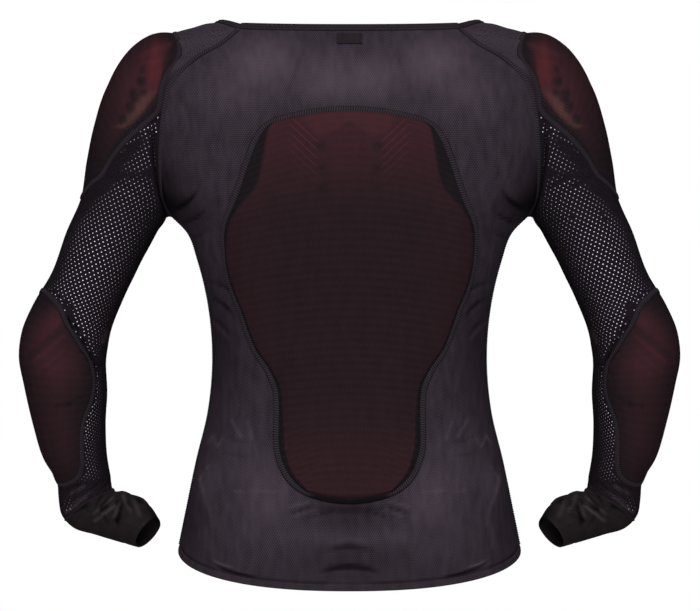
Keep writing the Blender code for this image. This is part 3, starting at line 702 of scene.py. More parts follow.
@dataclass
class Draft:
    """A mesh in the making: points, faces with the number of their finish, and values at the points."""

    points: list[Array] = field(default_factory=list)
    faces: list[tuple[Array, int]] = field(default_factory=list)
    values: dict[str, list[Array]] = field(default_factory=dict)
    count: int = 0

    def add(self, points: Array, faces: Sequence[tuple[Array, int]], **values: Array) -> None:
        """Adds points and the faces between them.

        Args:
            points: the new points, in any layout.
            faces: arrays of faces, numbered from the first new point, each with a finish number.
            values: point values by name in the points' layout, the same names in every call.
        """
        axes = points.ndim - 1
        for corners, finish in faces:
            self.faces.append((corners + self.count, finish))
        for name, value in values.items():
            self.values.setdefault(name, []).append(value.reshape((-1,) + value.shape[axes:]))
        self.points.append(points.reshape(-1, 3))
        self.count += points.size // 3

    def make(self, name: str, finishes: Sequence[bpy.types.Material], sharp: float = 0.9) -> Piece:
        """Makes the object.

        Args:
            name: the piece's name.
            finishes: its materials, in the order of the finish numbers.
            sharp: edges that turn by more than this angle, in radians, stay sharp.

        Returns:
            The new object, in the scene.
        """
        mesh = bpy.data.meshes.new(name)
        points = np.concatenate(self.points)
        sizes = np.concatenate([np.full(len(corners), corners.shape[1]) for corners, _ in self.faces])
        finish = np.concatenate([np.full(len(corners), number) for corners, number in self.faces])
        corners = np.concatenate([corners.ravel() for corners, _ in self.faces])
        mesh.vertices.add(len(points))
        mesh.vertices.foreach_set("co", points.ravel())
        mesh.loops.add(len(corners))
        mesh.loops.foreach_set("vertex_index", corners.astype(np.int32))
        mesh.polygons.add(len(sizes))
        mesh.polygons.foreach_set("loop_start", (np.cumsum(sizes) - sizes).astype(np.int32))
        mesh.polygons.foreach_set("material_index", finish.astype(np.int32))
        for key, parts in self.values.items():
            value = np.concatenate(parts)
            kind, slot = ("FLOAT", "value") if value.ndim == 1 else ("FLOAT_VECTOR", "vector")
            mesh.attributes.new(key, kind, "POINT").data.foreach_set(slot, value.ravel())
        mesh.update(calc_edges=True)
        mesh.validate()
        mesh.shade_smooth()
        mesh.set_sharp_from_angle(angle=sharp)
        for material in finishes:
            mesh.materials.append(material)
        piece = bpy.data.objects.new(name, mesh)
        bpy.context.collection.objects.link(piece)
        return piece


def wall(draft: Draft, quads: Array, outer: Array, inner: Array, finish: int = 0, **values: Array) -> None:
    """Adds a closed wall between two faces that share one layout of quads.

    Args:
        draft: the mesh in the making.
        quads: the layout, facing out.
        outer: the outer face's points.
        inner: the inner face's points.
        finish: the finish number.
        values: point values, used on both faces.
    """
    count = len(outer)
    rim = border(quads)
    sides = np.stack([rim[:, 1], rim[:, 0], rim[:, 0] + count, rim[:, 1] + count], axis=1)
    both = {name: np.concatenate([value, value]) for name, value in values.items()}
    faces = [(quads, finish), (quads[:, ::-1] + count, finish), (sides, finish)]
    draft.add(np.concatenate([outer, inner]), faces, **both)


def stitch(draft: Draft, line: Array, normals: Array, pitch: float, length: float) -> None:
    """Adds a row of small stitches along a line.

    Args:
        draft: the mesh in the making.
        line: points of the row.
        normals: outward normals there.
        pitch: from stitch to stitch.
        length: of one stitch.
    """
    run = run_length(line)
    middles = np.arange(pitch, run[-1] - pitch, pitch)
    half_width, height = 0.45 * MM, 0.35 * MM
    start, middle, end = (spread(middles + shift, run, line) for shift in (-length / 2, 0.0, length / 2))
    facing = unit(spread(middles, run, normals))
    aside = unit(np.cross(end - start, facing)) * half_width
    crown = facing * height
    points = np.stack([start, middle + aside, end, middle - aside, middle + crown, middle - crown], axis=1)
    first = np.arange(len(middles))[:, None] * 6
    upper, lower = [(0, 1, 4), (1, 2, 4), (2, 3, 4), (3, 0, 4)], [(1, 0, 5), (2, 1, 5), (3, 2, 5), (0, 3, 5)]
    sides = np.array(upper + lower)
    faces = (first[:, None] + sides[None]).reshape(-1, 3)
    draft.add(points, [(faces, 0)], cloth=points)


class Torso:
    """The back or the front as a smooth surface over levels, 0 at the hem and 16 at the neck."""

    def __init__(self, seam: Sequence[SeamLevel], middle: list[tuple[float, float]]) -> None:
        """Keeps the rows of points that the surface goes through.

        Args:
            seam: the levels above the underarm.
            middle: the panel's middle line below the underarm, as depth and height.
        """
        self.side = [(row.half_width, 0.0, row.side_z) for row in SIDE_LEVELS]
        self.raglan = self.side[-1:] + [(row.seam_x, row.seam_y, row.seam_z) for row in seam]
        self.middle = middle + [(row.centre_y, row.centre_z) for row in seam]
        self.yoke_widths = [seam[0].yoke_width] + [row.yoke_width for row in seam]

    def edges(self, levels: Array) -> Array:
        """Where the panel ends at each level: the side seam, then the raglan seam."""
        below = along(self.side, np.minimum(levels, UNDERARM))
        above = along(self.raglan, np.maximum(levels - UNDERARM, 0))
        return np.where(levels[:, None] <= UNDERARM, below, above)

    def yoke_width(self, levels: Array) -> Array:
        """How wide the yoke is where it meets this panel's raglan seam."""
        return np.interp(levels - UNDERARM, range(len(self.yoke_widths)), self.yoke_widths)

    def points(self, levels: Array, shares: Array) -> Array:
        """Points at these levels, each at a share of the half width, from -1 to 1.

        Args:
            levels: the levels.
            shares: a share for each level.

        Returns:
            A point for each level.
        """
        edges = self.edges(levels)
        middle = along(self.middle, levels)
        start = np.arcsin(np.abs(edges[:, 1] / middle[:, 0]) ** (SQUARENESS / 2))
        turn = np.arccos(np.cos(start) * np.abs(shares) ** (SQUARENESS / 2))
        rise = (np.sin(turn) - np.sin(start)) / (1 - np.sin(start))
        y = middle[:, 0] * np.sin(turn) ** (2 / SQUARENESS)
        z = edges[:, 2] + (middle[:, 1] - edges[:, 2]) * rise
        return np.stack([edges[:, 0] * shares, y, z], axis=1)

    def row(self, level: float, columns: int) -> Array:
        """One row from the left seam to the right, with its points spread evenly by angle.

        Args:
            level: the row's level.
            columns: the number of steps.

        Returns:
            One point more than the steps.
        """
        levels = np.full(columns + 1, float(level))
        edge, middle = self.edges(levels)[0], along(self.middle, levels)[0]
        start = np.arcsin(abs(edge[1] / middle[0]) ** (SQUARENESS / 2))
        across = np.linspace(-1, 1, columns + 1)
        turn = start + (np.pi / 2 - start) * (1 - np.abs(across))
        shares = np.sign(across) * (np.cos(turn) / np.cos(start)) ** (2 / SQUARENESS)
        return self.points(levels, shares)

    def levels_at(self, heights: Array) -> Array:
        """The levels at which the panel's middle has these heights."""
        fine = np.linspace(0, NECK, 400)
        return np.interp(heights, along(self.middle, fine)[:, 1], fine)

    def at(self, out: Array, heights: Array) -> Array:
        """Points of the panel this far out from its middle, on the levels of these heights."""
        levels = self.levels_at(heights.ravel())
        shares = out.ravel() / self.edges(levels)[:, 0]
        return self.points(levels, shares).reshape(out.shape + (3,))


BACK = Torso(BACK_SEAM, [(row.back_y, row.back_z) for row in SIDE_LEVELS])
FRONT = Torso(FRONT_SEAM, [(row.front_y, row.front_z) for row in SIDE_LEVELS])


class Zone(Enum):
    """The sewn panels of a sleeve."""

    YOKE = "shoulder_yoke"
    SHOULDER_CAP = "shoulder_cap"
    UPPER = "upper_sleeve"
    ELBOW_CAP = "elbow_cap"
    FOREARM = "forearm_sleeve"
    CUFF = "cuff"


@dataclass
class SleeveForm:
    """The right sleeve as one grid of points: columns round it, rows from the raglan seam to the cuff."""

    finer: int = 1
    columns: int = 100
    round_length: float = 0.24

    def __post_init__(self) -> None:
        """Works out the plain grid, then raises the caps and presses in the folds and creases."""
        self.columns *= self.finer
        self.places = np.arange(self.columns) * COLUMNS / self.columns
        self.split = ARMOUR_COLUMNS * self.columns // COLUMNS
        self.rows = np.cumsum([line.rows_above * self.finer for line in SEAM_LINES])
        stops = [self.seam_ring(line) for line in SEAM_LINES]
        where = [stops[0][None]]
        for above, below, line in zip(stops, stops[1:], SEAM_LINES[1:]):
            share = np.linspace(0, 1, line.rows_above * self.finer + 1)[1:, None]
            where.append(above + (below - above) * share)
        self.plain = through(self.rings(self.places), np.concatenate(where))
        self.points = self.plain
        self.normals = self.find_normals()
        self.move = self.moves()
        self.points = self.plain + self.normals * self.move[..., None]
        self.normals = self.find_normals()
        self.down = run_length(self.plain).mean(axis=1)
        self.cloth = laid_flat(self.places / COLUMNS * self.round_length, self.down[:, None])

    def seam_ring(self, line: SeamLine) -> Array:
        """The ring number of a seam line at every column.

        Args:
            line: the seam line.

        Returns:
            Whole and part numbers.
        """
        ring = line.ring + line.dip * (1 - self.armour_share() ** 2)
        if line is CUFF_SEAM:
            ring = ring + CUFF_SEAM_SLANT * np.cos(self.angles(SLEEVE_RINGS[-1], self.places))
        if line is ELBOW:
            inner = (self.places - ARMOUR_COLUMNS) / (COLUMNS - ARMOUR_COLUMNS)
            side = np.clip(np.abs(2 * inner - 1), 0, 1)
            ring = ring + (ELBOW_INNER_DROP + ELBOW_SIDE_DROP * side**2) * smooth(1 - side, 0, 0.14)
        return ring

    def armour_share(self) -> Array:
        """Where each column lies across the armour, from -1 at its back edge to 1 at its front edge."""
        return np.clip(2 * self.places / ARMOUR_COLUMNS - 1, -1, 1)

    def angles(self, ring: SleeveRing, places: Array) -> Array:
        """The angles of places round a ring: the armour's share of it, then the inner side's."""
        stops = [ring.armour_back, ring.armour_front, ring.armour_back + 360]
        return np.radians(np.interp(places, [0, ARMOUR_COLUMNS, COLUMNS], stops))

    def loop(self, places: Array) -> tuple[Array, Array]:
        """The raglan seam and the yoke's neck edge.

        Args:
            places: whole and part column numbers.

        Returns:
            The points there, and the yoke's widths.
        """
        start, end = NECK_COLUMNS
        step = (NECK - UNDERARM) / RAGLAN_STEPS
        top = UNDERARM + np.clip(RAGLAN_STEPS - start + places, 0, RAGLAN_STEPS) * step
        front = UNDERARM + np.clip(end + RAGLAN_STEPS - places, 0, RAGLAN_STEPS) * step
        low = UNDERARM + np.clip(places - end - RAGLAN_STEPS, 0, RAGLAN_STEPS) * step
        neck = np.clip((places - start) / (end - start), 0, 1) * (len(NECK_POINTS) - 1)
        neck_widths = np.interp(neck, range(len(NECK_POINTS)), [p.yoke_width for p in NECK_POINTS])
        when = [places <= start, places < end, places <= end + RAGLAN_STEPS, places > end + RAGLAN_STEPS]
        neck_edge = along([point[:3] for point in NECK_POINTS], neck)
        curves = [BACK.edges(top), neck_edge, FRONT.edges(front), BACK.edges(low)]
        widths = [BACK.yoke_width(top), neck_widths, FRONT.yoke_width(front), BACK.yoke_width(low)]
        points = np.select([test[:, None] for test in when], curves)
        return points, np.select(when, widths)

    def rings(self, places: Array) -> Array:
        """Every ring at these columns: the raglan loop, the yoke's edge, then the table's rings.

        Args:
            places: whole and part column numbers.

        Returns:
            Points, as rings x places x axes.
        """
        loop, widths = self.loop(places)
        lean = np.stack([np.ones(len(places)), -YOKE_TURN * loop[:, 1], np.full(len(places), -YOKE_FALL)], 1)
        rings = [loop, loop + unit(lean) * widths[:, None]]
        for ring in SLEEVE_RINGS:
            outer, inner = np.array([ring.outer_x, ring.outer_z]), np.array([ring.inner_x, ring.inner_z])
            half = (outer - inner) / 2
            down = np.array([half[1], -half[0]]) / np.linalg.norm(half)
            angle = self.angles(ring, places)
            sine = np.sin(angle)
            flat = (outer + inner) / 2 + np.outer(np.cos(angle), half)
            flat = flat + np.outer(ring.bow * sine**2 + ring.tilt * sine, down)
            depth = ring.centre_y + np.where(sine > 0, ring.front_depth, ring.back_depth) * sine
            rings.append(np.stack([flat[:, 0], depth, flat[:, 1]], axis=1))
        return np.array(rings)

    def find_normals(self) -> Array:
        """Outward normals of the grid as it stands."""
        across = np.roll(self.points, -1, axis=1) - np.roll(self.points, 1, axis=1)
        return unit(np.cross(np.gradient(self.points, axis=0), across))

    def moves(self) -> Array:
        """How far each point moves out: over the pads, and into the folds and creases.

        Returns:
            A distance for each point of the grid.
        """
        move = press(self.plain, self.normals, SLEEVE_CREASES + CUFF_CREASES, 0.0)
        out, _ = seen(self.plain)
        settle = np.interp(out, SHOULDER_SET_OUT, SHOULDER_SET_RISE)
        settle = settle * smooth(self.normals[..., 2], 0.3, 0.85)
        from_edge = smooth(np.arange(out.shape[0]) / self.rows[1], 0.0, 0.5)
        move += settle * MM * from_edge[:, None]
        across = swell(np.linspace(-1, 1, self.split + 1))
        for top, bottom in (self.rows[1:3], self.rows[3:5]):
            lift = CAP_LIFT * np.outer(swell(np.linspace(-1, 1, bottom - top + 1)), across)
            here = (slice(top, bottom + 1), slice(0, self.split + 1))
            move[here] *= 1 - lift / CAP_LIFT
            move[here] += lift * (1 - SHOULDER_TOP_EASE * smooth(self.normals[here][..., 2], 0.2, 0.65))
        for fold in CUFF_FOLDS:
            ends = self.rings(np.array([fold.start_column, fold.end_column]))
            start, end = through(ends, np.array([[fold.start_ring, fold.end_ring]]))[0]
            run = end - start
            reach = np.clip((self.plain - start) @ run / (run @ run), 0, 1)
            away = np.linalg.norm(self.plain - start - reach[..., None] * run, axis=2)
            move -= fold.depth * np.clip(1 - (away / fold.half_width) ** 2, 0, 1) ** 2
        return move

    def numbers(self, top: int, bottom: int, first: int, last: int) -> Array:
        """The point numbers of rows top to bottom and columns first to last, past the join if need be."""
        rows = np.arange(top, bottom + 1)[:, None]
        return rows * self.columns + np.arange(first, last + 1)[None] % self.columns

    def blocks(self, zone: Zone) -> list[Array]:
        """The grids of point numbers that make up a panel.

        Args:
            zone: the panel.

        Returns:
            One or two grids.
        """
        raglan, yoke, cap, elbow, elbow_end, cuff, end = self.rows
        armour, inner = (0, self.split), (self.split, self.columns)
        whole = (0, self.columns)
        spans = {
            Zone.YOKE: [(raglan, yoke, *armour)],
            Zone.SHOULDER_CAP: [(yoke, cap, *armour)],
            Zone.UPPER: [(raglan, cap, *inner), (cap, elbow, *whole)],
            Zone.ELBOW_CAP: [(elbow, elbow_end, *armour)],
            Zone.FOREARM: [(elbow, elbow_end, *inner), (elbow_end, cuff, *whole)],
            Zone.CUFF: [(cuff, end, *whole)],
        }
        return [self.numbers(*span) for span in spans[zone]]

    def span(self, zone: Zone) -> tuple[int, int]:
        """The first and last row of a cap."""
        first = 1 if zone is Zone.SHOULDER_CAP else 3
        return int(self.rows[first]), int(self.rows[first + 1])

    def quads(self, zone: Zone) -> Array:
        """The quads of a panel, facing out."""
        return np.concatenate([grid_faces(block)[:, ::-1] for block in self.blocks(zone)])


def node(
    tree: bpy.types.NodeTree, kind: str, settings: dict, links: dict | None = None, out: str | int = 0
) -> bpy.types.NodeSocket:
    """Adds a node.

    Args:
        tree: the material's node tree.
        kind: the node's type, without the words that all shader nodes begin with.
        settings: its properties by name, or socket values by socket name or number.
        links: the sockets that feed it, by its own socket's name or number.
        out: the name or number of the wanted output.

    Returns:
        That output's socket.
    """
    made = tree.nodes.new("ShaderNode" + kind)
    for key, value in settings.items():
        if isinstance(key, str) and hasattr(made, key):
            setattr(made, key, value)
        else:
            made.inputs[key].default_value = value
    for key, source in (links or {}).items():
        tree.links.new(source, made.inputs[key])
    return made.outputs[out]


def bands(pitch: float) -> float:
    """The wave texture's scale for bands this far apart, in mm, on coordinates in metres."""
    return 2 * math.pi / 20 / (pitch * MM)


@dataclass(frozen=True)
class Finish:
    """A cloth or foam: two colours of its pattern, how it takes the light, and its thread spacing."""

    name: str
    deep: str
    raised: str
    roughness: float
    pitch: float
    slant: float
    relief: float
    grain: float
    paints: tuple[tuple[str, str], ...] = ()
    rib_colour: str = ""

    def material(self) -> bpy.types.Material:
        """Makes the material, or gives the one already made.

        Returns:
            A material whose pattern lies along the piece's own cloth, from the point value "cloth".
        """
        if self.name in bpy.data.materials:
            return bpy.data.materials[self.name]
        made = bpy.data.materials.new(self.name)
        made.use_nodes = True
        tree = made.node_tree
        shader = tree.nodes["Principled BSDF"]
        shader.inputs["Roughness"].default_value = self.roughness
        shader.inputs["Specular IOR Level"].default_value = 0.0
        cloth = node(tree, "Attribute", {"attribute_name": "cloth"}, out="Vector")
        threads = []
        for turn in (self.slant, -self.slant):
            spin = {"Rotation": (0, 0, math.radians(turn))}
            turned = node(tree, "Mapping", spin, {"Vector": cloth})
            weave = {"Scale": bands(self.pitch), "Distortion": 0.6, "Detail": 1.0}
            threads.append(node(tree, "TexWave", weave, {"Vector": turned}, "Fac"))
        times = {"operation": "MULTIPLY"}
        knit = node(tree, "Math", times, dict(enumerate(threads)))
        drawn = node(tree, "Mapping", {"Scale": (1.0, 0.35, 1.0)}, {"Vector": cloth})
        speck = {"Scale": 1 / (self.grain * MM), "Detail": 5.0}
        mottle = node(tree, "TexNoise", speck, {"Vector": drawn}, "Fac")
        # How much of the raised colour shows: more on the loops' crowns, and unevenly
        crowns = {"operation": "MULTIPLY_ADD", 1: 0.85, 2: -0.10}
        crown = node(tree, "Math", crowns, {0: knit})
        cast = {"operation": "MULTIPLY_ADD", 1: 0.50}
        share = node(tree, "Math", cast, {0: mottle, 2: crown})
        blend = {"data_type": "RGBA", 6: linear(self.deep), 7: linear(self.raised)}
        colour = node(tree, "Mix", blend, {0: share}, 2)
        # More colours painted over the pattern by point values: the cloth's own, and painted sheen and shade
        for name, tint in self.paints:
            amount = node(tree, "Attribute", {"attribute_name": name}, out="Fac")
            grip = {"operation": "MULTIPLY_ADD", 1: 0.5, 2: 0.75}
            uneven = node(tree, "Math", grip, {0: share})
            held = times | {"use_clamp": True}
            amount = node(tree, "Math", held, {0: amount, 1: uneven})
            blend = {"data_type": "RGBA", 7: linear(tint)}
            colour = node(tree, "Mix", blend, {0: amount, 6: colour}, 2)
        loops = {"Strength": 0.6, "Distance": self.relief * MM}
        normal = node(tree, "Bump", loops, {"Height": knit})
        if self.rib_colour:
            line = self.rib_line(tree)
            blend = {"data_type": "RGBA", 7: linear(self.rib_colour)}
            colour = node(tree, "Mix", blend, {0: line, 6: colour}, 2)
            ridge = {"Distance": 0.6 * MM}
            normal = node(tree, "Bump", ridge, {"Height": line, "Normal": normal})
        tree.links.new(colour, shader.inputs["Base Color"])
        tree.links.new(normal, shader.inputs["Normal"])
        return made

    def rib_line(self, tree: bpy.types.NodeTree) -> bpy.types.NodeSocket:
        """The ribs that show: a thin line at each whole "phase", as strong as the point value "rib".

        Args:
            tree: the material's node tree.

        Returns:
            The socket with the line's strength.
        """
        phase = node(tree, "Attribute", {"attribute_name": "phase"}, out="Fac")
        turn = node(tree, "Math", {"operation": "MULTIPLY", 1: 2 * math.pi}, {0: phase})
        wave = node(tree, "Math", {"operation": "COSINE"}, {0: turn})
        thin = {"interpolation_type": "SMOOTHSTEP", "From Min": 0.86, "From Max": 1.0}
        line = node(tree, "MapRange", thin, {"Value": wave})
        strength = node(tree, "Attribute", {"attribute_name": "rib"}, out="Fac")
        return node(tree, "Math", {"operation": "MULTIPLY"}, {0: line, 1: strength})


# Warp-knit polyamide and elastane: fine slanting loops, paler and lilac where it is pulled thin, with
# painted sheen where the light falls and on crease ridges, and painted shade in creases, the hem groove
# and shadowed places. The loops are really 0.5 mm apart and are drawn at 1.65 mm so that they show.
WARP_KNIT = Finish("warp-knit polyamide, stretched", "#090709", "#312a31", 0.6, 1.65, 24, 0.4, 8,
                   (("sheen", "#443a43"), ("shade", "#080608")))
# Thin weft-knit stretch cloth: near black, with a dull red pad showing through where it lies tight.
STRETCH_KNIT = Finish("thin stretch knit over foam", "#0b090b", "#141113", 0.66, 1.7, 6, 0.25, 9,
                      (("show", "#291519"), ("bloom", "#382622"), ("flush", "#3a171a")), "#3c1d1f")
# Raschel spacer mesh: dull dark bars round open holes, with painted highlights on the ridges of its
# wrinkles.
SPACER_MESH = Finish("raschel spacer mesh", "#0a080a", "#151116", 0.7, 1.1, 40, 0.12, 5,
                     (("sheen", "#2a2327"),))
# The same mesh knitted closer and pulled less, with a grey cast, painted darker further below the shoulder
# line.
CLOSE_MESH = Finish("raschel spacer mesh, close", "#19151a", "#2e282f", 0.7, 1.1, 40, 0.12, 5,
                    (("shade", "#0e0b0e"),))
# Paler back yarn of the spacer mesh, seen at the bottom of its holes; painted shade darkens it deep in
# folds, and painted light brightens it in a few places.
BACK_YARN = Finish("spacer mesh back yarn", "#080709", "#0d0c0e", 0.8, 1, 45, 0.05, 4,
                   (("pale", "#c6bccb"),))
# Plain rib-knit cuff: matt charcoal, with fine ribs along the arm, painted shade in its folds and painted
# highlights on its wrinkles.
CUFF_KNIT = Finish("rib-knit cuff", "#0e0c0d", "#1b1719", 0.72, 1.6, 3, 0.3, 10,
                   (("shade", "#060506"), ("sheen", "#2c2729")))
# Moulded closed-cell foam: matt dull red with a slightly pitted skin.
MOULDED_FOAM = Finish("moulded closed-cell foam", "#3a1416", "#4a1c1e", 0.7, 2.4, 45, 0.2, 3)
# Woven polyester binding: black and flat, with a fine twill.
WOVEN_TAPE = Finish("woven polyester tape", "#0d0b0d", "#1e1a1d", 0.68, 1, 40, 0.15, 6)
# Flatlock thread: black-grey textured polyester, laid side by side across the seam, with painted shade
# between its ribs and along its edges.
SEAM_THREAD = Finish("textured polyester thread", "#181518", "#362f36", 0.64, 0.9, 45, 0.1, 5,
                     (("groove", "#060506"),))


def place(piece: Piece, slot: str, *nodes: str) -> Piece:
    """Lets a piece ride on the part's one body, and hides the solids that it stands for.

    Args:
        piece: the piece.
        slot: not used.
        nodes: the solids' nodes, if any.

    Returns:
        The same piece.
    """
    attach(piece, "root")
    if nodes:
        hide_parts(*nodes)
    LOG.info("%s: %d faces", piece.name, len(piece.data.polygons))
    return piece


def slab(
    name: str, finish: Finish, outer: Array, inner: Array, turned: bool = False, **values: Array
) -> Piece:
    """Makes a closed wall between two grids of points.

    Args:
        name: the piece's name.
        finish: its cloth or foam.
        outer: the outer face's grid.
        inner: the inner face's grid.
        turned: whether the grid's own facing is inward.
        values: point values, used on both faces.

    Returns:
        The new piece.
    """
    quads = grid_faces(grid_numbers(outer))
    flat = {key: value.reshape((-1,) + value.shape[2:]) for key, value in values.items()}
    draft = Draft()
    wall(draft, quads[:, ::-1] if turned else quads, outer.reshape(-1, 3), inner.reshape(-1, 3), **flat)
    return draft.make(name, [finish.material()])


class Shaped(NamedTuple):
    """A creased panel: its points, outward normals, places on the cloth, and how far each point moved."""

    points: Array
    normals: Array
    cloth: Array
    move: Array


@dataclass
class TorsoPanels:
    """The back and front panels of warp knit, with their hem turned up and coverstitched."""

    back_columns: int = 150
    front_columns: int = 62
    rows: int = 190
    hem_rows: int = 24
    hem_proud: float = 0.45 * MM
    hem_groove: float = 1.6 * MM
    hem_groove_width: float = 2.0 * MM

    def __post_init__(self) -> None:
        """Works out both panels' points, normals and cloth places."""
        low, top = SIDE_LEVELS[0].back_z, BACK_SEAM[-1].centre_z
        hem = low + np.arange(self.hem_rows) * MM
        heights = np.concatenate([hem, np.linspace(low + self.hem_rows * MM, top, self.rows + 1)])
        self.levels = BACK.levels_at(heights)
        self.levels[-1] = NECK
        back = np.array([BACK.row(level, self.back_columns) for level in self.levels])
        front = np.array([FRONT.row(level, self.front_columns)[::-1] for level in self.levels])
        self.back = self.shape(back, BACK_CREASES, -1.0)
        self.front = self.shape(front, FRONT_CREASES, 1.0)

    def shape(self, grid: Array, creases: Sequence[Crease], side: float) -> Shaped:
        """Presses creases and the hem's step into a plain panel.

        Args:
            grid: the plain panel's points.
            creases: the panel's creases.
            side: -1 for the back, 1 for the front.

        Returns:
            The creased panel.
        """
        up = run_length(grid)
        across = run_length(grid.transpose(1, 0, 2)).T
        across = across - across[:, across.shape[1] // 2, None]
        normals = grid_normals(grid)
        move = press(grid, normals, creases, side)
        move += self.hem_proud * (1 - self.above_hem(up))
        move -= self.hem_groove * np.exp(-(((up - HEM_HEIGHT) / self.hem_groove_width) ** 2))
        points = grid + normals * move[..., None]
        return Shaped(points, grid_normals(points), laid_flat(across, up), move)

    def above_hem(self, up: Array) -> Array:
        """0 in the hem and 1 above it, with a soft step."""
        return smooth(up, HEM_HEIGHT - 1 * MM, HEM_HEIGHT + 1 * MM)

    def panel(self, name: str, shaped: Shaped) -> Piece:
        """Makes one panel's wall, which is two layers thick in the hem; ridges get painted highlights
        and troughs painted shade.

        Args:
            name: the solid's name.
            shaped: the creased panel.

        Returns:
            The new piece.
        """
        points, normals, cloth, move = shaped
        # Painted sheen: paler stretched knit with painted highlights, plus painted highlights on crease
        # ridges
        sheen = paint(points, BACK_SHEEN) + streaks(points, BACK_LINES)
        sheen = sheen + 0.30 * smooth(move, 0.4 * MM, 1.6 * MM)
        # Painted shade in crease troughs and the hem groove, and where the back lies in shade
        shade = 0.70 * smooth(-move, 0.2 * MM, 2.4 * MM) + paint(points, BACK_SHADE)
        thick = KNIT_WALL * (2 - self.above_hem(cloth[..., 1]))
        inner = points - normals * thick[..., None]
        knit = slab(f"{name}_knit", WARP_KNIT, points, inner, cloth=cloth, sheen=sheen, shade=shade)
        return place(knit, "torso_knit", name)

    def build(self) -> dict[str, Piece]:
        """Makes both panels.

        Returns:
            The panels by their solid's name.
        """
        panels = {"back_panel": self.back, "front_panel": self.front}
        return {name: self.panel(name, shaped) for name, shaped in panels.items()}


@dataclass
class BackPocket:
    """The pocket of thin stretch knit on the back, the protector in it, and the ribs that show through."""

    rows: int = 132
    columns: int = 96
    protector_edge: float = 4.0 * MM
    protector_middle: float = 10.0 * MM
    rib_spacing: float = 8.6
    rib_top: float = -91.0
    rib_change: float = -330.0
    zigzag: tuple[tuple[float, float], ...] = ((0, 0), (22, -15), (33, -15), (62, 12), (104, 5), (140, -6))
    zigzag_shows: tuple[tuple[float, float], ...] = (
        (0, 0.10), (31, 0.00), (38, 0.85), (58, 0.75), (66, 0.06), (130, 0.03)
    )
    low_rib_spacing: float = 6.2
    tick_spacing: float = 11.5
    least_red: float = 0.18
    top_red: float = 0.42
    bottom_red: float = 0.22
    side_red: float = 0.10

    def __post_init__(self) -> None:
        """Works out the back panel's points under the pocket, and how thick the protector is there."""
        last = len(POCKET_ROWS) - 1
        number = np.linspace(0, last, self.rows + 1)
        row = along(POCKET_ROWS, number)
        share = np.linspace(-1, 1, self.columns + 1)
        self.out = share[None] * row[:, 2, None]
        heights = row[:, 0, None] - row[:, 1, None] * share[None] ** 2
        self.base = BACK.at(self.out, heights)
        self.normals = grid_normals(self.base)
        beyond = (row[:, 2, None] - np.abs(self.out)) / (row[:, 2, None] - row[:, 3, None])
        ends = np.minimum(number, last - number)[:, None]
        self.inside = np.clip(np.minimum(beyond, ends), 0, 1)
        self.inside_wide = np.clip((beyond - 1) * 3, 0, 1)
        foot = np.where(number < last / 2, 2.4 * number, 1.0)[:, None]
        self.tinted = np.minimum(np.clip(beyond, 0, 1), foot)
        down = swell(np.clip((number - last / 2) / (last / 2 - 1), -1, 1))[:, None]
        across = swell(np.clip(np.abs(self.out) / row[:, 3, None], 0, 1))
        self.thick = self.protector_edge + (self.protector_middle - self.protector_edge) * down * across
        self.cloth = laid_flat(self.out, run_length(self.base))

    def ribs(self) -> tuple[Array, Array]:
        """The moulded ribs that show: zigzags in the upper part and soft level ones at the bottom.

        Returns:
            The rib numbers at each point, whole on a rib's line, and how strongly ribs show there.
        """
        out, up = seen(self.base)
        below = self.rib_top + self.drop(out) - up
        zigzag = smooth(-below, -70, 0) * np.interp(out, *zip(*self.zigzag_shows))
        zigzag = zigzag * smooth(below, 1, 5) * smooth(126 - out, 0, 30)
        low = 0.10 * smooth(-up, 385, 450) * smooth(out, 5, 45)
        upper = up > self.rib_change
        phase = np.where(upper, below / self.rib_spacing, (up + 0.004 * out**2) / self.low_rib_spacing)
        return phase, np.where(upper, zigzag, low) * smooth(self.inside, 0.9, 1.0)

    def drop(self, out: Array) -> Array:
        """How far the zigzag runs below its peak, this far out."""
        return np.interp(out, *zip(*self.zigzag))

    def show(self) -> Array:
        """How much of the protector's red shows through the cloth at each point.

        Returns:
            Shares from 0 to 1.
        """
        out, up = seen(self.base)
        block = smooth(up - self.rib_top - self.drop(out), -3, 1) * smooth(50 - out, 0, 10)
        top = self.least_red + self.top_red * smooth(up, -200, -85)
        bottom = self.least_red + self.bottom_red * smooth(-up, 370, 490)
        sides = self.side_red * smooth(out, 60, 110)
        ticks = smooth(np.cos(up / self.tick_spacing * 2 * np.pi), 0.5, 1)
        ticks = ticks * smooth(-up, 370, 400) * smooth(-up, -455, -430)
        ticks = 0.5 * ticks * smooth(1 - self.inside_wide, 0.75, 1.0)
        amount = np.maximum(top, bottom) + sides + 0.25 * block + ticks - streaks(self.base, POCKET_HOLLOWS)
        return np.clip(amount, 0, 1) * smooth(self.tinted, 0.80, 1.0)

    def build(self) -> dict[str, Piece]:
        """Makes the pocket and the protector.

        Returns:
            The two pieces by their solid's name.
        """
        phase, rib = self.ribs()
        rise = LAY_GAP + smooth(self.inside, 0, 1) * (self.thick + 2 * SEAM_GAP)
        inner = self.base + self.normals * rise[..., None]
        outer = inner + self.normals * KNIT_WALL
        values = {"cloth": self.cloth, "show": self.show(), "phase": phase, "rib": rib}
        pocket = slab("back_pocket_knit", STRETCH_KNIT, outer, inner, **values)
        place(pocket, "stretch_knit", "back_pocket")
        keep = (slice(8, -8, 2), slice(8, -8, 2))
        foot = (self.base + self.normals * (LAY_GAP + SEAM_GAP))[keep]
        top = foot + self.normals[keep] * (smooth(self.inside, 0, 1) * self.thick)[keep][..., None]
        foam = slab("back_protector_foam", MOULDED_FOAM, top, foot, cloth=self.cloth[keep])
        place(foam, "pad_foam", "back_protector")
        return {"back_pocket": pocket, "back_protector": foam}

